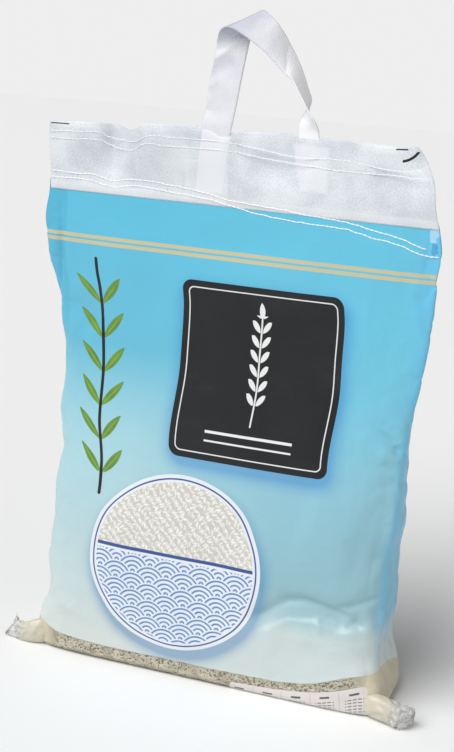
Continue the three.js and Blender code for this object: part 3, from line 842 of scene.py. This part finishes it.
def film_material():
    """Printed film: the design over its whole height, a clear strip at the bottom and a white label."""
    material, tree, shader = new_material(
        "printed_film", Roughness=0.38, Coat_Weight=0.1, Coat_Roughness=0.22)
    (film_s, t, _), source = coordinates(tree)
    back = (film_s - 0.5).math("GREATER_THAN", 0)
    s = film_s - back
    label, label_colour = label_print(tree, s, t)
    label = label * back.flip()
    colour = mix(tree, label, whole_print(tree, s, t, back), label_colour)
    wobble = noise(tree, combine(tree, s, t * 0.2), 60, 2) - 0.5
    edge = curve(tree, s, CLEAR_EDGE) * back.flip() + curve(tree, s, BACK_EDGE) * back
    above = t - edge - wobble * 0.0012
    opaque = (above * -1).inside(0.0006).most(label)
    film, clear = clear_strip(tree, source, s, t)
    tree.links.new(mix(tree, opaque, film, colour), shader.inputs["Base Color"])
    tree.links.new((opaque + opaque.flip() * clear).socket, shader.inputs["Alpha"])
    crinkle = noise(tree, source, 70, 4, 0.55, 0.6) + noise(tree, source, 420, 3) * 0.06
    tree.links.new(bump(tree, crinkle, 0.0009, 0.5), shader.inputs["Normal"])
    return material


def clear_film_material():
    """Crumpled clear film: whitish where its layers bunch up at the ears' ends, where its tone follows the
    crumples, grey in their hollows as painted shade and white on their crests, partly painted highlight.
    """
    material, tree, shader = new_material(
        "clear_film", Roughness=0.3, Coat_Weight=0.25, Coat_Roughness=0.15)
    (x, _, _), source = coordinates(tree, "Object")
    crush = noise(tree, source, 260, 4, 0.6, 1.2)
    # Painted light and shade: the crumples' hollows are grey and their crests white, from the same noise as
    # their relief.
    crumple_light_and_shade = ramp(tree, crush, [(0.36, srgb(160, 160, 160)), (0.46, srgb(216, 216, 212)),
                              (0.60, srgb(240, 241, 241))])
    crumpled = ((x.abs() + crush * 0.016 - 0.184) * 70).limit()
    tree.links.new(mix(tree, crumpled, srgb(212, 206, 186), crumple_light_and_shade), shader.inputs["Base Color"])
    alpha = (crush * 0.6 + 0.3) * crumpled + crumpled.flip() * 0.8
    tree.links.new(alpha.limit().socket, shader.inputs["Alpha"])
    tree.links.new(bump(tree, crush * (crumpled * 0.9 + 0.1), 0.003, 0.7), shader.inputs["Normal"])
    return material


def rice_material():
    """Raw rice: pale and a little clouded, with some light passing through."""
    material, tree, shader = new_material("rice", Roughness=0.42, Subsurface_Weight=0.15)
    shader.inputs["Subsurface Scale"].default_value = 0.001
    _, source = coordinates(tree, "Object")
    patch = noise(tree, source, 130, 2)
    tree.links.new(ramp(tree, patch, [(0.3, srgb(182, 173, 150)), (0.7, srgb(220, 213, 194))]),
                   shader.inputs["Base Color"])
    return material


def core_material():
    """The rice behind the outer grains: long cells, lighter in their middles and darker towards their edges
    as painted shade between the grains.
    """
    material, tree, shader = new_material("rice_core", Roughness=0.6)
    (x, y, z), source = coordinates(tree, "Object")
    turned = noise(tree, source, 60, 1) * 5.0
    depth = voronoi(tree, combine(tree, x * 400 + turned, y * 400, z * 640 + turned))
    # Painted shade: the colour darkens from each cell's middle towards its edge, where the grains meet.
    tree.links.new(ramp(tree, depth, [(0.1, srgb(204, 197, 177)), (0.8, srgb(140, 132, 112))]),
                   shader.inputs["Base Color"])
    tree.links.new(bump(tree, depth * -1, 0.001, 0.6), shader.inputs["Normal"])
    return material


def weave_group():
    """Plain weave: crossed threads of a given count per metre, as a height from 0 to 1."""
    tree = bpy.data.node_groups.new("weave", "ShaderNodeTree")
    tree.interface.new_socket("U", in_out="INPUT", socket_type="NodeSocketFloat")
    tree.interface.new_socket("V", in_out="INPUT", socket_type="NodeSocketFloat")
    tree.interface.new_socket("Threads", in_out="INPUT", socket_type="NodeSocketFloat")
    tree.interface.new_socket("Height", in_out="OUTPUT", socket_type="NodeSocketFloat")
    given = tree.nodes.new("NodeGroupInput")
    u, v, threads = (Sum(tree, given.outputs[i]) for i in range(3))
    a = u * threads * math.pi
    b = v * threads * math.pi
    over = a.math("SINE") * b.math("SINE")
    warp = a.math("SINE").abs() * (over * 0.5 + 0.5)
    weft = b.math("SINE").abs() * (over * -0.5 + 0.5)
    out = tree.nodes.new("NodeGroupOutput")
    tree.links.new(warp.most(weft).socket, out.inputs[0])
    return tree


def weave(tree, u, v, threads):
    """The height of a plain weave at u, v in metres."""
    node = tree.nodes.new("ShaderNodeGroup")
    node.node_tree = bpy.data.node_groups.get("weave") or weave_group()
    tree.links.new(u.socket, node.inputs["U"])
    tree.links.new(v.socket, node.inputs["V"])
    node.inputs["Threads"].default_value = threads
    return Sum(tree, node.outputs["Height"])


# Painted shadow in the gaps between the band's two layers under its upper edge: a curl at its right corner,
# which is an arc between a left and a top limit, and straight ones with their ends and half widths.
CURL = ((0.1405, 0.4985), 0.0165)
CURL_ENDS = (0.1430, 0.4905)
CURL_HALF = 0.0011
SLIT_SHADES = [((-0.1715, 0.4882), (-0.1540, 0.4888), 0.0005), ((0.1375, 0.4915), (0.146, 0.4918), 0.0006)]


def painted_slit_shade(s, t):
    """1 inside the slits, where shadow is painted."""
    (centre, radius), (left, top) = CURL, CURL_ENDS
    slits = (disc(s, t, centre, radius).abs() - CURL_HALF).most(t - top).most(s * -1 + left)
    for start, end, half in SLIT_SHADES:
        slits = slits.least(stroke(s, t, start, end, half))
    return slits.inside()


def band_legs(s, t):
    """Where the webbing's ends, and a patch beside the left one, show through the band, from 0 to 1."""
    left_end = plate(s + (t - 0.47) * -0.123 + 0.0192, t, (0, 0.468), (0.0127, 0.0275), 0.001)
    patch = plate(s, t, (-0.025, 0.450), (0.0195, 0.018), 0.001)
    slant = (s * -1 + 0.0500 + (t * -1 + 0.485) * 0.25) * 0.97
    right_end = slant.most(s - 0.0825).most(t * -1 + 0.450).most(t - 0.4885)
    return left_end.inside(0.0012).most(patch.inside(0.0012) * 0.55).most(right_end.inside(0.003) * 0.7)


def band_material():
    """White woven sheet in two layers. It is lighter where the webbing's ends lie between them, and along the
    hems where it is folded double."""
    material, tree, shader = new_material("header_sheet", Roughness=0.5, Sheen_Weight=0.05)
    (s, t, _), _source = coordinates(tree)
    vector = combine(tree, s, t)
    cloud = noise(tree, vector, 26, 4, 0.55)
    grain = noise(tree, vector, 700, 2)
    colour = ramp(tree, cloud * 0.6 + grain * 0.4, [(0.36, srgb(198, 205, 211)), (0.64, srgb(228, 232, 236))])
    legs = band_legs(s, t)
    colour = mix(tree, legs * 0.75, colour, srgb(236, 237, 241))
    hem = ((t - 0.4340).abs() - 0.0035).inside(0.0015) * 0.4
    colour = mix(tree, hem, colour, srgb(232, 234, 238))
    # Painted shadow: near-black in the gaps between the band's two layers.
    colour = mix(tree, painted_slit_shade(s, t), colour, srgb(24, 23, 24))
    tree.links.new(colour, shader.inputs["Base Color"])
    height = weave(tree, s, t, 900.0) * 0.25 + cloud * 0.6 + legs * 0.8
    tree.links.new(bump(tree, height, 0.0004, 0.5), shader.inputs["Normal"])
    return material


def webbing_material():
    """Ribbed white webbing: a fine twill across it and a firm edge along each side, with painted shade in the
    ribs' grooves, at its top bend and along a crease on its left leg, and painted light past the bend.
    """
    material, tree, shader = new_material("webbing", Roughness=0.55, Sheen_Weight=0.15)
    (u, v, _), _source = coordinates(tree)
    twill = ((u * 900.0 + v * 620.0) * math.pi).math("SINE") * 0.5 + 0.5
    cross = ((u * 900.0 - v * 620.0) * math.pi).math("SINE") * 0.5 + 0.5
    ribs = twill * 0.6 + cross * 0.4
    soil = noise(tree, combine(tree, u, v), 60, 3)
    # Painted shade: the ribs darken the colour in their grooves.
    tone = ribs * 0.25 + soil * 0.75
    colour = ramp(tree, tone, [(0.2, srgb(216, 217, 224)), (0.8, srgb(232, 232, 237))])
    # Painted shade: lavender grey at the top bend and along the crease on the left leg.
    painted_bend_shade = ((v - 0.146).abs() * -40 + 1.1).limit() * 0.9
    under = (stroke(u, v, (-0.004, 0.098), (0.014, 0.110), 0.004) * -120).math("ADD", 0.4, clamp=True) * 0.6
    colour = mix(tree, painted_bend_shade.most(under), colour, srgb(168, 172, 190))
    # Painted light: the webbing past the bend is made lighter.
    colour = mix(tree, ((v - 0.185) * 40).limit() * 0.85, colour, srgb(246, 246, 249))
    tree.links.new(colour, shader.inputs["Base Color"])
    tree.links.new(bump(tree, ribs, 0.0004, 0.35), shader.inputs["Normal"])
    return material


def thread_material():
    """White sewing thread with a slight fuzz."""
    material, tree, shader = new_material("thread", Roughness=0.6, Sheen_Weight=0.2)
    shader.inputs["Base Color"].default_value = srgb(242, 244, 245)
    _, source = coordinates(tree, "Object")
    tree.links.new(bump(tree, noise(tree, source, 900, 2), 0.0003, 0.5), shader.inputs["Normal"])
    return material


# The header band.

def band_depth(x, z):
    """y of the band's middle: its waves grow from nothing at WAVES_FROM to full at WAVES_FULL, and its
    creases stand on them."""
    share = smooth((z - WAVES_FROM) / (WAVES_FULL - WAVES_FROM))
    at, reach, width = BAND_STEP
    total = reach * (1 / (1 + np.exp((x - at) / width)) - 0.5)
    for place, most, wide in BAND_WAVES:
        total = total + most * np.exp(-((x - place) / wide) ** 2)
    return -share * total - crease_lift(BAND_CREASES, x, z)


def sheet_half(z):
    """Half the band's thickness, which tapers to the film at the band's lower edge."""
    full = smooth((z - SEAM_HEIGHT) / LOWER_REACH)
    return SHEET_HALF * (LOWER_SHARE + (1 - LOWER_SHARE) * full)


def band_rings(columns=300, rows=44):
    """The band as rings: the front from left to right, and the back from right to left, at each level."""
    u = np.linspace(0, 1, columns + 1)
    v = np.linspace(0, 1, rows + 1)[:, None]
    wide = BAND_LEFT + u * (BAND_RIGHT - BAND_LEFT)
    z = SEAM_HEIGHT + v * (profile(BAND_TOP, wide) - SEAM_HEIGHT)
    squeeze = (profile(BAND_CORNER, z) - BAND_LEFT) / (BAND_RIGHT - BAND_LEFT)
    x = BAND_LEFT + (wide - BAND_LEFT) * squeeze
    rng = np.random.default_rng(7)
    wave, puff_height = PUFF
    puff = ripples(rows + 1, columns + 1, rng, *BAND_CELL, wave) * puff_height * smooth(v * 12)
    width, depth, change = PUCKER
    beat = depth + change * np.sin(x * 2 * np.pi / STITCH_PITCH)
    pucker = sum(np.exp(-((z - profile(row, x)) / width) ** 2) * beat for row in STITCH_ROWS.values())
    edge = smooth((1 - v) * 12) * smooth(np.minimum(u, 1 - u) * 60)
    half = sheet_half(z) * (0.3 + 0.7 * edge) - pucker * 0.6 * edge * smooth(v * 12)
    middle = band_depth(x, z)
    front = np.stack([x, middle - half - puff * edge * 0.5, z], -1)
    back = np.stack([x, middle + half - puff * edge * 0.5, z], -1)
    rings = np.concatenate([front, back[:, ::-1]], 1)
    uv_front = np.stack([x, z], -1)
    uvs = np.concatenate([uv_front, uv_front[:, ::-1], uv_front[:, :1]], 1)
    return rings, uvs


# The webbing handle.

def web_rings(across=18, rows=420):
    """The webbing's outline at each row: one face, then the other, each half the thickness from the surface
    that is ruled between its two edge curves."""
    t = np.linspace(0.03, len(WEB_OUTER) - 1.03, rows)
    index = np.arange(len(WEB_OUTER))[:, None]
    outer = profile(np.hstack([index, WEB_OUTER]), t)[:, None]
    inner = profile(np.hstack([index, WEB_INNER]), t)[:, None]
    u = np.linspace(0, 1, across + 1)[None, :, None]
    points = outer * (1 - u) + inner * u
    inside = smooth((BAND_ENTRY + 14 - points[..., 2]) / 14)
    depth = band_depth(points[..., 0], np.minimum(points[..., 2], BAND_ENTRY))
    points[..., 1] += inside * (depth - points[..., 1])
    normals = unit(np.cross(np.gradient(points, axis=1), np.gradient(points, axis=0)))
    edge = np.abs(2 * u[..., 0] - 1)
    half = WEB_HALF * (1 + 0.25 * np.exp(-((edge - 0.93) / 0.05) ** 2))[..., None]
    width = np.linalg.norm(outer - inner, axis=-1)
    length = np.r_[0, np.cumsum(np.linalg.norm(np.diff(points[:, across // 2], axis=0), axis=-1))][:, None]
    uv = np.stack([u[..., 0] * width, np.broadcast_to(length, (rows, across + 1))], -1)
    points = points + normals * crease_lift(WEB_CREASES, uv[..., 0], uv[..., 1])[..., None]
    rings = np.concatenate([points + normals * half, (points - normals * half)[:, ::-1]], 1)
    uvs = np.concatenate([uv, uv[:, ::-1], uv[:, :1]], 1)
    return rings, uvs


# Stitching.

STITCH_PITCH = 4.2
STITCH_LENGTH = 4.1
STITCH_RINGS = 7
STITCH_SIDES = 7
UPPER_ROWS = ("stitch_row_1", "stitch_row_2")
FINE_THREAD = 0.42  # radius in the upper rows, and in the lower ones
THICK_THREAD = 0.55


def stitch_line(row, side):
    """Close points along a row on a face of the band, -1 for its front and 1 for its back. Where a row in
    front runs below the band, it lies on the film."""
    x = np.linspace(row[0][0], row[-1][0], 2000)
    z = profile(row, x)
    y = band_depth(x, z) + side * sheet_half(z)
    if side < 0:
        y = np.minimum(y * smooth((z - SEAM_HEIGHT + 1) / 2), film_front_depth(x, z))
    return np.stack([x, y, z], -1)


def stitches(name, row, material, radius, behind=False):
    """Separate stitches along a row: each a slim barrel that dips into the sheet at both ends."""
    side = 1.0 if behind else -1.0
    line = stitch_line(row, side)
    length = np.r_[0, np.cumsum(np.linalg.norm(np.diff(line, axis=0), axis=-1))]
    count = int(length[-1] / STITCH_PITCH)
    share = np.linspace(0, 1, STITCH_RINGS)
    at = (np.arange(count)[:, None] + 0.01) * STITCH_PITCH + share * STITCH_LENGTH
    centre = np.stack([np.interp(at, length, line[:, i]) for i in range(3)], -1)
    wander = np.random.default_rng(count).standard_normal(count + 1)[:, None] * 0.2
    centre[..., 2] += wander[:-1] * (1 - share) + wander[1:] * share
    arch = np.sin(share * np.pi)
    centre[..., 1] += side * (0.2 * arch - 0.1)
    thick = radius * (0.6 + 0.4 * arch ** 0.5)
    along = unit(np.gradient(centre, axis=1))
    over = unit(np.cross(along, [0, side, 0]))
    out = np.cross(over, along)
    angle = np.arange(STITCH_SIDES) * 2 * np.pi / STITCH_SIDES
    rings = centre[:, :, None] + thick[None, :, None, None] * (
        np.cos(angle)[:, None] * out[:, :, None] + np.sin(angle)[:, None] * over[:, :, None])
    per = STITCH_RINGS * STITCH_SIDES
    start = (np.arange(count) * per)[:, None, None]
    quads = (ring_faces(STITCH_RINGS, STITCH_SIDES) + start).reshape(-1, 4)
    cap = np.arange(STITCH_SIDES)
    ends = (np.stack([cap[::-1], cap + per - STITCH_SIDES]) + start).reshape(-1, STITCH_SIDES)
    return new_object(name, rings, quads.tolist() + ends.tolist(), material)


# The rice.

CORE_TOP = 335  # height of the rice
CORE_GAP = 3.0  # between the film and the core, where the single grains lie
CORE_FINE_ROWS = 30  # of the film's rows, from the base up; above them every third is enough
GRAIN_REACH = 4  # how far the grains go past the print's edge and in under the base
GRAIN_RINGS = 3
GRAIN_SIDES = 5


def rice_core():
    """The rice as one body, as high as the sack is filled: the film's smooth shape made smaller all round,
    and pressed in further where the film is."""
    _, _, normals, lift = film_surface()
    rings = (bag_rings(inset=CORE_GAP)[0] + normals * np.minimum(lift, 0))[:, ::2]
    filled = np.flatnonzero(rings[:, 0, 2] <= CORE_TOP)
    rows = np.r_[filled[:CORE_FINE_ROWS], filled[CORE_FINE_ROWS::3], filled[-1]]
    return tube("rice_core", rings[np.unique(rows)], core_material())


def grain_places(settings, rng):
    """Seeded places on the film below the print's edge, with the film's normals there."""
    film, uvs, normals, _ = film_surface()
    grid = np.concatenate([uvs[:, 0, :-1], uvs[:, 1, :-1]], 1)
    behind = grid[..., 0] > BACK_UV / 2
    s = (grid[..., 0] - BACK_UV * behind) * MM
    on_front, on_back = (np.interp(s, *np.transpose(edge)) / MM for edge in (CLEAR_EDGE, BACK_EDGE))
    clear = film[..., 2] < np.where(behind, on_back, on_front) + GRAIN_REACH
    rows, columns = np.nonzero(clear & (grid[..., 1] > -GRAIN_REACH))
    pick = rng.integers(0, len(rows), settings.grain_count)
    i, j = rows[pick], columns[pick]
    fi, fj = rng.random((2, len(pick), 1))
    n = film.shape[1]
    low = film[i, j] * (1 - fj) + film[i, (j + 1) % n] * fj
    high = film[i + 1, j] * (1 - fj) + film[i + 1, (j + 1) % n] * fj
    return low * (1 - fi) + high * fi, normals[i, j]


def spindle_faces(count):
    """Faces of so many spindles, each a few rings with a tip at both ends."""
    ring, n = np.arange(GRAIN_SIDES), (np.arange(GRAIN_SIDES) + 1) % GRAIN_SIDES
    top = (GRAIN_RINGS - 1) * GRAIN_SIDES
    foot = np.full(GRAIN_SIDES, GRAIN_RINGS * GRAIN_SIDES)
    tris = np.concatenate([np.stack([foot, n, ring], -1), np.stack([foot + 1, ring + top, n + top], -1)])
    start = (np.arange(count) * (GRAIN_RINGS * GRAIN_SIDES + 2))[:, None, None]
    quads = ring_faces(GRAIN_RINGS, GRAIN_SIDES) + start
    return quads.reshape(-1, 4).tolist() + (tris + start).reshape(-1, 3).tolist()


def rice_grains(settings):
    """Rice grains just inside the film, lying along it: each a spindle of a few faces, turned at random."""
    rng = np.random.default_rng(12)
    spot, normal = grain_places(settings, rng)
    count = len(spot)
    long, wide = settings.grain_length / MM / 2, settings.grain_width / MM / 2
    centre = spot - normal * (wide + 0.3 + rng.random(count) ** 2 * 1.3)[:, None]
    centre[:, 2] = np.maximum(centre[:, 2], wide + 0.6)
    side = unit(np.cross(normal, [0.02, 0, 1.0]))
    rise = np.cross(side, normal)
    turn = rng.random((count, 1)) * np.pi
    dip = np.abs(rng.standard_normal((count, 1))) * 0.05
    axis = unit(side * np.cos(turn) + rise * np.sin(turn) - normal * dip)
    other = unit(np.cross(axis, normal))
    third = np.cross(other, axis)
    reach = axis * (long * (0.8 + 0.35 * rng.random((count, 1))))
    share = np.linspace(-0.62, 0.62, GRAIN_RINGS)[:, None, None]
    angle = (np.arange(GRAIN_SIDES) * 2 * np.pi / GRAIN_SIDES)[:, None]
    around = other[:, None, None] * np.cos(angle) + third[:, None, None] * np.sin(angle)
    body = centre[:, None, None] + reach[:, None, None] * share + wide * np.sqrt(1 - share ** 2) * around
    tips = centre[:, None] + reach[:, None] * np.array([[-1], [1]])
    points = np.concatenate([body.reshape(count, -1, 3), tips], 1)
    return new_object("rice_grains", points, spindle_faces(count), rice_material())


# The ears.

def ear_rings(stations, seed, columns=72, rows=80):
    """An ear of crumpled film: ellipses along its stations, with pleats that fan out towards its end, and
    jagged tips where the notch draws the middle of the end back."""
    rng = np.random.default_rng(seed)
    index = np.arange(len(stations))
    table = np.array([[k, *station[0], *station[1:]] for k, station in zip(index, stations)])
    t = np.linspace(0, len(stations) - 1, rows)
    values = profile(table, t)
    centre, (tall, thick, notch, slant) = values[:, :3], values[:, 3:].T[..., None]
    towards = np.sign(stations[0][0][0])
    angle = towards * np.arange(columns) * 2 * np.pi / columns
    far = smooth((t - 1.5) / (len(stations) - 2.5))[:, None]
    crush = ripples(rows, columns, rng, 1.0, 1.0, 14, 0.6)
    pleat = (0.16 * np.sin(5 * angle + 1.1 + 0.9 * np.sin(2.2 * t[:, None]))
             + 0.07 * np.sin(11 * angle - 2.0 * t[:, None]))
    wide = 1 + far * (pleat * 1.2 + 0.16 * crush) + 0.03 * crush
    up, out = np.sin(angle), np.cos(angle)
    ragged = far ** 2 * (1.6 * np.sin(9 * angle + 2) + 1.2 * crush)
    drawn = np.maximum(notch, 0) * (1 - np.abs(up)) + slant * (1 + up) / 2 + np.maximum(0, ragged)
    x = centre[:, :1] - towards * drawn
    y = centre[:, 1:2] + thick * out * wide
    z = centre[:, 2:3] + tall * up * (1 + far * 0.10 * crush)
    return np.stack([x, y, np.maximum(z, 0.3)], -1)


# Operators.

class FilmSettings(bpy.types.PropertyGroup):
    grain_count: bpy.props.IntProperty(
        name="Grains", description="Rice grains that lie against the clear film", default=6200, min=100)
    grain_length: bpy.props.FloatProperty(
        name="Grain length", description="Length of a rice grain", default=0.0058, unit="LENGTH")
    grain_width: bpy.props.FloatProperty(
        name="Grain width", description="Width of a rice grain", default=0.0018, unit="LENGTH")


class StageSettings(bpy.types.PropertyGroup):
    floor_colour: bpy.props.FloatVectorProperty(
        name="Floor", description="Colour of the floor", subtype="COLOR", size=3, default=(0.88, 0.88, 0.88))
    key_strength: bpy.props.FloatProperty(
        name="Key light", description="Strength of the wide soft light from the upper left", default=2.95)
    key_angle: bpy.props.FloatProperty(
        name="Key spread", description="How wide the key light is", default=math.radians(50), subtype="ANGLE")
    fill_strength: bpy.props.FloatProperty(
        name="Fill light", description="Strength of the weak light from the right", default=0.55)
    sky_strength: bpy.props.FloatProperty(
        name="Sky", description="Strength of the even light from all round", default=0.22)
    backdrop: bpy.props.FloatProperty(
        name="Backdrop", description="Brightness of the backdrop behind the floor", default=0.86)


def stands_for(piece, slot, *nodes):
    """Put a finished piece on the sack's one body in place of its CAD nodes. Its slot is not used."""
    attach(piece, "root")
    if nodes:
        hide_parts(*nodes)


def film_bag():
    """The bag: its wrinkled rings closed into a tube."""
    rings, uvs, _, _ = film_surface()
    return tube("film_bag", rings, film_material(), [uvs[:, 0], uvs[:, 1]])


class RICESACK_OT_film(bpy.types.Operator):
    """Make the film bag: printed above, clear at the bottom"""
    bl_idname = "ricesack.film"
    bl_label = "Film bag"

    def execute(self, context):
        stands_for(film_bag(), "printed_film", "sack_film")
        return {"FINISHED"}


class RICESACK_OT_rice(bpy.types.Operator):
    """Make the rice that shows through the clear strip: single grains over a core"""
    bl_idname = "ricesack.rice"
    bl_label = "Rice"

    def execute(self, context):
        settings = context.scene.ricesack_film
        stands_for(rice_core(), "printed_film", "sack_film")
        stands_for(rice_grains(settings), "printed_film", "sack_film")
        return {"FINISHED"}


class RICESACK_OT_ears(bpy.types.Operator):
    """Make the crumpled ears at the ends of the bottom seam"""
    bl_idname = "ricesack.ears"
    bl_label = "Seam ears"

    def execute(self, context):
        material = clear_film_material()
        for name, stations, seed in (("ear_left", LEFT_EAR, 3), ("ear_right", RIGHT_EAR, 5)):
            piece = tube(name, ear_rings(stations, seed), material)
            stands_for(piece, "printed_film", "sack_film")
        return {"FINISHED"}


class RICESACK_OT_band(bpy.types.Operator):
    """Make the header band of two sewn layers"""
    bl_idname = "ricesack.band"
    bl_label = "Header band"

    def execute(self, context):
        rings, uvs = band_rings()
        stands_for(tube("band_sheet", rings, band_material(), [uvs]), "header_sheet", "header_band")
        return {"FINISHED"}


class RICESACK_OT_handle(bpy.types.Operator):
    """Make the folded webbing handle"""
    bl_idname = "ricesack.handle"
    bl_label = "Handle"

    def execute(self, context):
        rings, uvs = web_rings()
        stands_for(tube("handle_webbing", rings, webbing_material(), [uvs]), "webbing", "webbing_handle")
        return {"FINISHED"}


class RICESACK_OT_stitching(bpy.types.Operator):
    """Make the rows of stitches on both faces of the band"""
    bl_idname = "ricesack.stitching"
    bl_label = "Stitching"

    def execute(self, context):
        material = thread_material()
        for name, row in STITCH_ROWS.items():
            radius = FINE_THREAD if name in UPPER_ROWS else THICK_THREAD
            stands_for(stitches(f"{name}_thread", row, material, radius), "thread", name)
        for number, name in enumerate(UPPER_ROWS, 1):
            piece = stitches(f"back_thread_{number}", STITCH_ROWS[name], material, FINE_THREAD, behind=True)
            stands_for(piece, "thread")
        return {"FINISHED"}


def sun(name, strength, spread, azimuth, elevation):
    """A wide sun from an azimuth, which is negative on the left of the front, and an elevation."""
    light = bpy.data.lights.new(name, "SUN")
    light.energy = strength
    light.angle = spread
    az, el = math.radians(azimuth), math.radians(elevation)
    towards = Vector((math.sin(az) * math.cos(el), -math.cos(az) * math.cos(el), math.sin(el)))
    thing = bpy.data.objects.new(name, light)
    thing.matrix_world = towards.to_track_quat("Z", "Y").to_matrix().to_4x4()
    bpy.context.scene.collection.objects.link(thing)


def sky(scene, settings):
    """An even sky for the light, and a pale backdrop where the camera looks past the floor."""
    scene.world = scene.world or bpy.data.worlds.new("world")
    scene.world.use_nodes = True
    tree = scene.world.node_tree
    tree.nodes.clear()
    shaders = []
    for strength in (settings.sky_strength, settings.backdrop):
        node = tree.nodes.new("ShaderNodeBackground")
        node.inputs["Color"].default_value = (1, 1, 1, 1)
        node.inputs["Strength"].default_value = strength
        shaders.append(node.outputs[0])
    path = tree.nodes.new("ShaderNodeLightPath")
    choose = tree.nodes.new("ShaderNodeMixShader")
    out = tree.nodes.new("ShaderNodeOutputWorld")
    tree.links.new(path.outputs["Is Camera Ray"], choose.inputs[0])
    tree.links.new(shaders[0], choose.inputs[1])
    tree.links.new(shaders[1], choose.inputs[2])
    tree.links.new(choose.outputs[0], out.inputs[0])


CAMERA = {"azimuth": 20.0, "elevation": 17.0, "roll": 2.5, "distance": 1.290, "lens": 70.0,
          "aim": (0.001, 0, 0.280)}


def add_camera():
    """The camera at its azimuth, elevation and distance from what it looks at, rolled about its view."""
    az, el, roll = (math.radians(CAMERA[k]) for k in ("azimuth", "elevation", "roll"))
    back = Vector((math.sin(az) * math.cos(el), -math.cos(az) * math.cos(el), math.sin(el)))
    level = Vector((math.cos(az), math.sin(az), 0))
    rise = back.cross(level)
    right = level * math.cos(roll) + rise * math.sin(roll)
    up = rise * math.cos(roll) - level * math.sin(roll)
    data = bpy.data.cameras.new("camera")
    data.lens = CAMERA["lens"]
    data.sensor_width = 36
    data.clip_end = 50
    camera = bpy.data.objects.new("camera", data)
    place = Vector(CAMERA["aim"]) + back * CAMERA["distance"]
    camera.matrix_world = Matrix.Translation(place) @ Matrix((right, up, back)).transposed().to_4x4()
    bpy.context.scene.collection.objects.link(camera)
    bpy.context.scene.camera = camera


KEY_FROM = (-34, 50)  # azimuth and elevation in degrees
FILL_FROM = (65, 12)
FLOOR_HALF = 4000.0
FLOOR_LEVEL = -0.2  # just under the sack's base


class RICESACK_OT_stage(bpy.types.Operator):
    """Set up the floor, the lights and the camera"""
    bl_idname = "ricesack.stage"
    bl_label = "Stage"

    def execute(self, context):
        settings = context.scene.ricesack_stage
        material, tree, shader = new_material("floor", Roughness=0.9)
        shader.inputs["Base Color"].default_value = (*settings.floor_colour, 1)
        sides = ((-1, -1), (1, -1), (1, 1), (-1, 1))
        corners = np.array([[x * FLOOR_HALF, y * FLOOR_HALF, FLOOR_LEVEL] for x, y in sides])
        floor = new_object("floor", corners, [[0, 1, 2, 3]], material, smooth_shading=False)
        sun("key", settings.key_strength, settings.key_angle, *KEY_FROM)
        sun("fill", settings.fill_strength, settings.key_angle, *FILL_FROM)
        sky(context.scene, settings)
        context.scene.view_settings.view_transform = "Standard"
        add_camera()
        return {"FINISHED"}


PIECES = (RICESACK_OT_film, RICESACK_OT_rice, RICESACK_OT_ears, RICESACK_OT_band, RICESACK_OT_handle,
          RICESACK_OT_stitching, RICESACK_OT_stage)


class RICESACK_PT_panel(bpy.types.Panel):
    """Lists the sack's pieces and their settings"""
    bl_label = "Rice sack"
    bl_idname = "RICESACK_PT_panel"
    bl_space_type = "VIEW_3D"
    bl_region_type = "UI"
    bl_category = "Rice sack"

    def draw(self, context):
        for group in (context.scene.ricesack_film, context.scene.ricesack_stage):
            for key in group.__annotations__:
                self.layout.prop(group, key)
        for piece in PIECES:
            self.layout.operator(piece.bl_idname)


CLASSES = (FilmSettings, StageSettings) + PIECES + (RICESACK_PT_panel,)


def register():
    for cls in CLASSES:
        bpy.utils.register_class(cls)
    bpy.types.Scene.ricesack_film = bpy.props.PointerProperty(type=FilmSettings)
    bpy.types.Scene.ricesack_stage = bpy.props.PointerProperty(type=StageSettings)


def unregister():
    del bpy.types.Scene.ricesack_stage
    del bpy.types.Scene.ricesack_film
    for cls in reversed(CLASSES):
        bpy.utils.unregister_class(cls)


def main():
    register()
    for piece in PIECES:
        space, name = piece.bl_idname.split(".")
        getattr(getattr(bpy.ops, space), name)()


if __name__ == "__main__":
    main()
